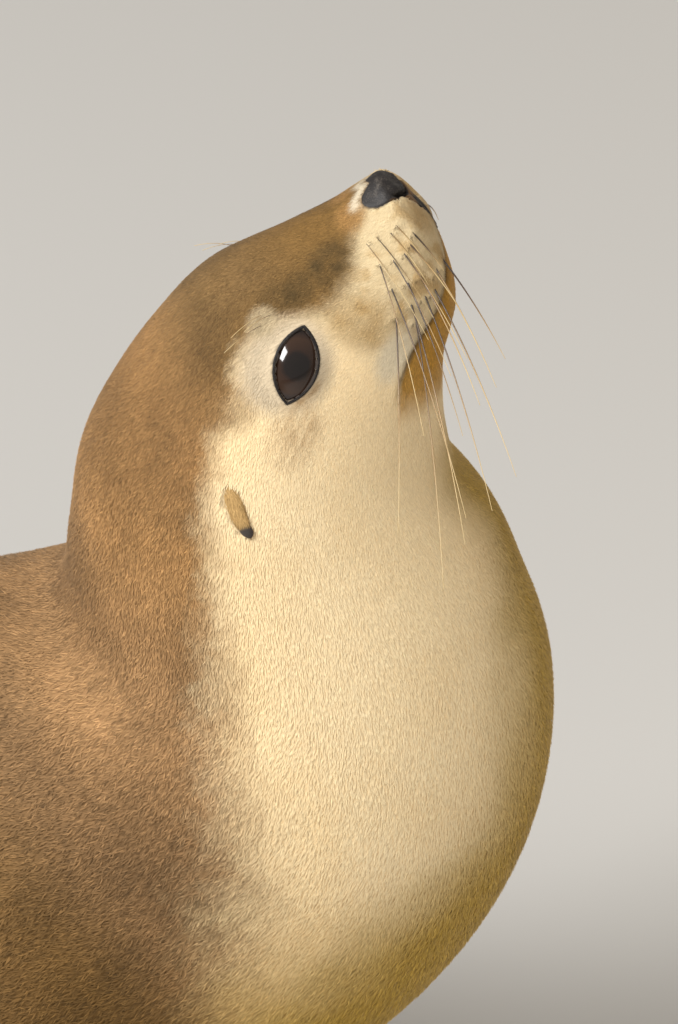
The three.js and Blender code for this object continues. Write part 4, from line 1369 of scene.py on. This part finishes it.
noseLook = {
    "leather": (0.014, 0.011, 0.01, 1), "dust": (0.1, 0.085, 0.07, 1), "fold": (0.2, 0.105, 0.04, 1),
    "cellScale": 1000.0, "poreScale": 1500.0,
    "dustScale": 230.0, "dustStops": [(0.5, (0, 0, 0)), (0.72, (1, 1, 1))],
}


def noseFinish():
    look = noseLook
    m = Finish("nose", Coat_Weight=0.06, Coat_Roughness=0.35, Specular_IOR_Level=0.35)
    place = m.place()
    cells = m.node("ShaderNodeTexVoronoi", Vector=place, Scale=look["cellScale"])
    pores, dust = m.noise(place, look["poreScale"], 4.0), m.noise(place, look["dustScale"], 2.0)
    speckle = m.ramp(pores * 0.55 + dust * 0.45, look["dustStops"])
    tone = m.blended(look["leather"], look["dust"], speckle)
    tone = m.blended(tone, look["fold"], m.attribute("fold") * 0.75)
    bump = m.bump(cells * 0.7 + pores * 0.5, 0.5, 0.0005)
    return m.shaded(Base_Color=tone, Roughness=0.5 + pores * 0.2, Normal=bump)


nosePiece, = finished(noseFinish(), makeNosePad())
print("nose made")

# the whiskers
whisker = {
    "sides": 6, "steps": 18, "root": 0.5, "tip": 0.14, "sunk": 1.2, "start": 60,
    "steepest": 38, "turnBack": 0.85, "wander": 4,  # the sweep's angle and how it grows from the nose back
    "growth": 3.4, "shorter": 5, "lower": 0.3, "longest": 142,  # the length by the place of the root
    "rootWay": (-0.25, 0.92, -0.1), "bend": (-0.04, 0.12, -0.1), "bareFar": (24, -20),
    "browRoot": 0.16, "browWay": (0.35, 0.55, 0.9),
    "browRootWay": (0, 0.6, 0.8), "browBend": (0.35, 0.0, -0.12),
    "stops": [(0.0, (0.03, 0.02, 0.015)), (0.35, (0.09, 0.055, 0.035)), (0.65, (0.35, 0.22, 0.09)),
              (1.0, (0.6, 0.45, 0.22))],
}
# the ways in which they sweep, in the head's own directions: forwards and down, back and down, out
sweep = np.array([[-0.52, 0.16, -0.84], [0.75, 0.56, -0.35], [-0.41, 0.81, 0.42]])
browRoots = np.array([(84, 36, 40, 22), (88, 39, 37, 27), (81, 38, 37, 18)], float)


def makeHair(root, start, bend, length, thickness):
    share = np.linspace(0, 1, whisker["steps"])
    line = root + length * (share[:, None] * start + (share ** 2)[:, None] * bend)
    along = unit(np.gradient(line, axis=0))
    side = unit(np.cross(along, start + np.array([0.3, 0.1, 0.7])))
    up = np.cross(side, along)
    bearing = np.linspace(0, 2 * np.pi, whisker["sides"], endpoint=False)
    radius = thickness + (whisker["tip"] - thickness) * share ** 1.3
    rings = line[:, None] + radius[:, None, None] * (
        np.cos(bearing)[None, :, None] * side[:, None] + np.sin(bearing)[None, :, None] * up[:, None])
    return rings, line, share


def onSkin(place, way):
    hit, found, _ = castOnSkin(place, way, whisker["start"])
    return toHead(found[None])[0] if hit else np.array(place, float)


def hairsOf(side):
    mirror = np.array([1, side, 1])
    hairs = []
    for behind, up, lateral in whiskerRoots:
        root = onSkin((behind, noseShift(behind) + side * lateral, up), whisker["rootWay"] * mirror)
        angle = math.radians(
            whisker["steepest"] + whisker["turnBack"] * behind + rng.normal(0, whisker["wander"]))
        out = rng.uniform(0.8, 1.1) * np.interp(behind, (9, 25, 50), (0.1, 0.4, 0.45))
        start = math.cos(angle) * sweep[0] + math.sin(angle) * sweep[1] + out * sweep[2]
        length = whisker["growth"] * behind - whisker["shorter"] - whisker["lower"] * min(up, 0)
        length = min(length, whisker["longest"]) * rng.uniform(0.78, 1.05)
        onwards, back, outwards = whisker["bend"]
        bend = back * sweep[1] + onwards * sweep[0] + outwards * sweep[2]
        if side < 0 and behind < whisker["bareFar"][0] and up > whisker["bareFar"][1]:
            continue
        thickness = whisker["root"] * rng.uniform(0.8, 1.05) * np.interp(-up, (-4, 16), (0.45, 1))
        hairs.append((root, unit(start) * mirror, bend * mirror, length, thickness))
    for behind, lateral, up, length in browRoots:
        root = onSkin((behind, side * lateral, up), whisker["browRootWay"] * mirror)
        start = unit(np.array(whisker["browWay"]) + rng.normal(0, 0.08, 3))
        hairs.append((root, start * mirror, whisker["browBend"] * mirror, length, whisker["browRoot"]))
    return hairs


def makeWhiskers():
    points, bands, caps, shades, count = [], [], [], [], 0
    for side in (-1, 1):
        for root, start, bend, length, thickness in hairsOf(side):
            sunkRoot = root - unit(start) * whisker["sunk"]
            rings, line, share = makeHair(sunkRoot, start, bend, length, thickness)
            rows, columns = rings.shape[:2]
            points += [rings.reshape(-1, 3), line[-1:] + unit(line[-1:] - line[-2:-1]) * 0.3]
            shade = np.clip(share + rng.uniform(-0.1, 0.45) * (share > 0), 0, 1)
            shades.append(np.append(np.repeat(shade, columns), 1))
            last = count + (rows - 1) * columns
            bands.append(ringFaces(rows, columns) + count)
            caps.append(fan(last + np.arange(columns), last + columns))
            count += rows * columns + 1
    piece = meshPiece(
        "whiskers", fromHead(np.concatenate(points)), [np.concatenate(bands), np.concatenate(caps)])
    addValues(piece, along=np.concatenate(shades))
    faceOutwards(piece)
    return piece


def faceOutwards(piece):
    deselectAll()
    bpy.context.view_layer.objects.active = piece
    piece.select_set(True)
    bpy.ops.object.mode_set(mode="EDIT")
    bpy.ops.mesh.select_all(action="SELECT")
    bpy.ops.mesh.normals_make_consistent(inside=False)
    bpy.ops.object.mode_set(mode="OBJECT")


def whiskerFinish():
    m = Finish("whisker", Roughness=0.32)
    return m.shaded(Base_Color=m.ramp(m.attribute("along"), whisker["stops"]))


whiskers, = finished(whiskerFinish(), makeWhiskers())
print("whiskers made")

# the hind claws keep the frame's own shape
claw = {
    "grain": (900, 160, 900), "wearScale": 350.0,
    "stops": [(0.3, (0.03, 0.02, 0.014)), (0.55, (0.09, 0.06, 0.04)), (0.8, (0.24, 0.18, 0.12))],
}


def clawFinish():
    m = Finish("claw", Coat_Weight=0.2, Coat_Roughness=0.3)
    place = m.place()
    horn = m.noise(m.node("ShaderNodeMapping", Vector=place, Scale=claw["grain"]), 1.0, 3.0)
    wear = m.noise(place, claw["wearScale"], 2.0)
    return m.shaded(Base_Color=m.ramp(horn * 0.6 + wear * 0.4, claw["stops"]), Roughness=0.38 + wear * 0.25,
                    Normal=m.bump(horn, 0.4, 0.0004))


hornFinish = clawFinish()
for name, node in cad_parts.items():
    if name.startswith("claw_"):
        coverWith(node, hornFinish)
print("claws finished")

# the studio; its places are in metres
studio = {
    "floor": (0.56, 0.545, 0.52), "floorSize": 30, "air": (1, 0.965, 0.91, 1), "airStrength": 0.42,
    # place, what it is aimed at, size, power, colour
    "lights": {
        "key": ((-1.75, 1.35, 3.3), (0, -0.35, 0.55), 1.5, 182, (1, 1, 1)),
        "front": ((-2.9, -1.7, 2.5), (0, -0.4, 0.5), 2.4, 40, (1, 0.95, 0.88)),
        "fill": ((2.4, -2.2, 1.4), (0, -0.2, 0.4), 2.6, 12, (1, 0.84, 0.6)),
    },
    "inGloss": ("key",),  # the lights that show as reflections
}


def addFloor():
    bpy.ops.mesh.primitive_plane_add(size=studio["floorSize"])
    floor = bpy.context.object
    floor.name = "floor"
    floor.data.materials.append(Finish("floor").shaded(Base_Color=(*studio["floor"], 1)))


def addLight(name, place, target, size, power, colour):
    bpy.ops.object.light_add(type="AREA", location=place)
    lamp = bpy.context.object
    lamp.name = name
    lamp.data.size = size
    lamp.data.energy = power
    lamp.data.color = colour
    away = np.array(target, float) - np.array(place, float)
    lamp.rotation_euler = (
        math.acos(-away[2] / np.linalg.norm(away)), 0, math.atan2(-away[0], away[1]))
    lamp.visible_glossy = name in studio["inGloss"]


addFloor()
for name, light in studio["lights"].items():
    addLight(name, *light)
world = bpy.data.worlds.new("studio")
bpy.context.scene.world = world
world.use_nodes = True
world.node_tree.nodes["Background"].inputs["Color"].default_value = studio["air"]
world.node_tree.nodes["Background"].inputs["Strength"].default_value = studio["airStrength"]
bpy.context.scene.view_settings.view_transform = "Standard"
print("studio lit")

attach(skin, "root")
fleshNodes = [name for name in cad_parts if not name.startswith(("eye_", "claw_", "nose"))]
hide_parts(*fleshNodes)
for piece in coatPieces:
    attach(piece, "root")
for piece, name in zip(eyeballs, ("eye_left", "eye_right")):
    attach(piece, "root")
    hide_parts(name)
for piece in lidRims:
    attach(piece, "root")
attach(whiskers, "root")
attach(nosePiece, "root")
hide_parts("nose")
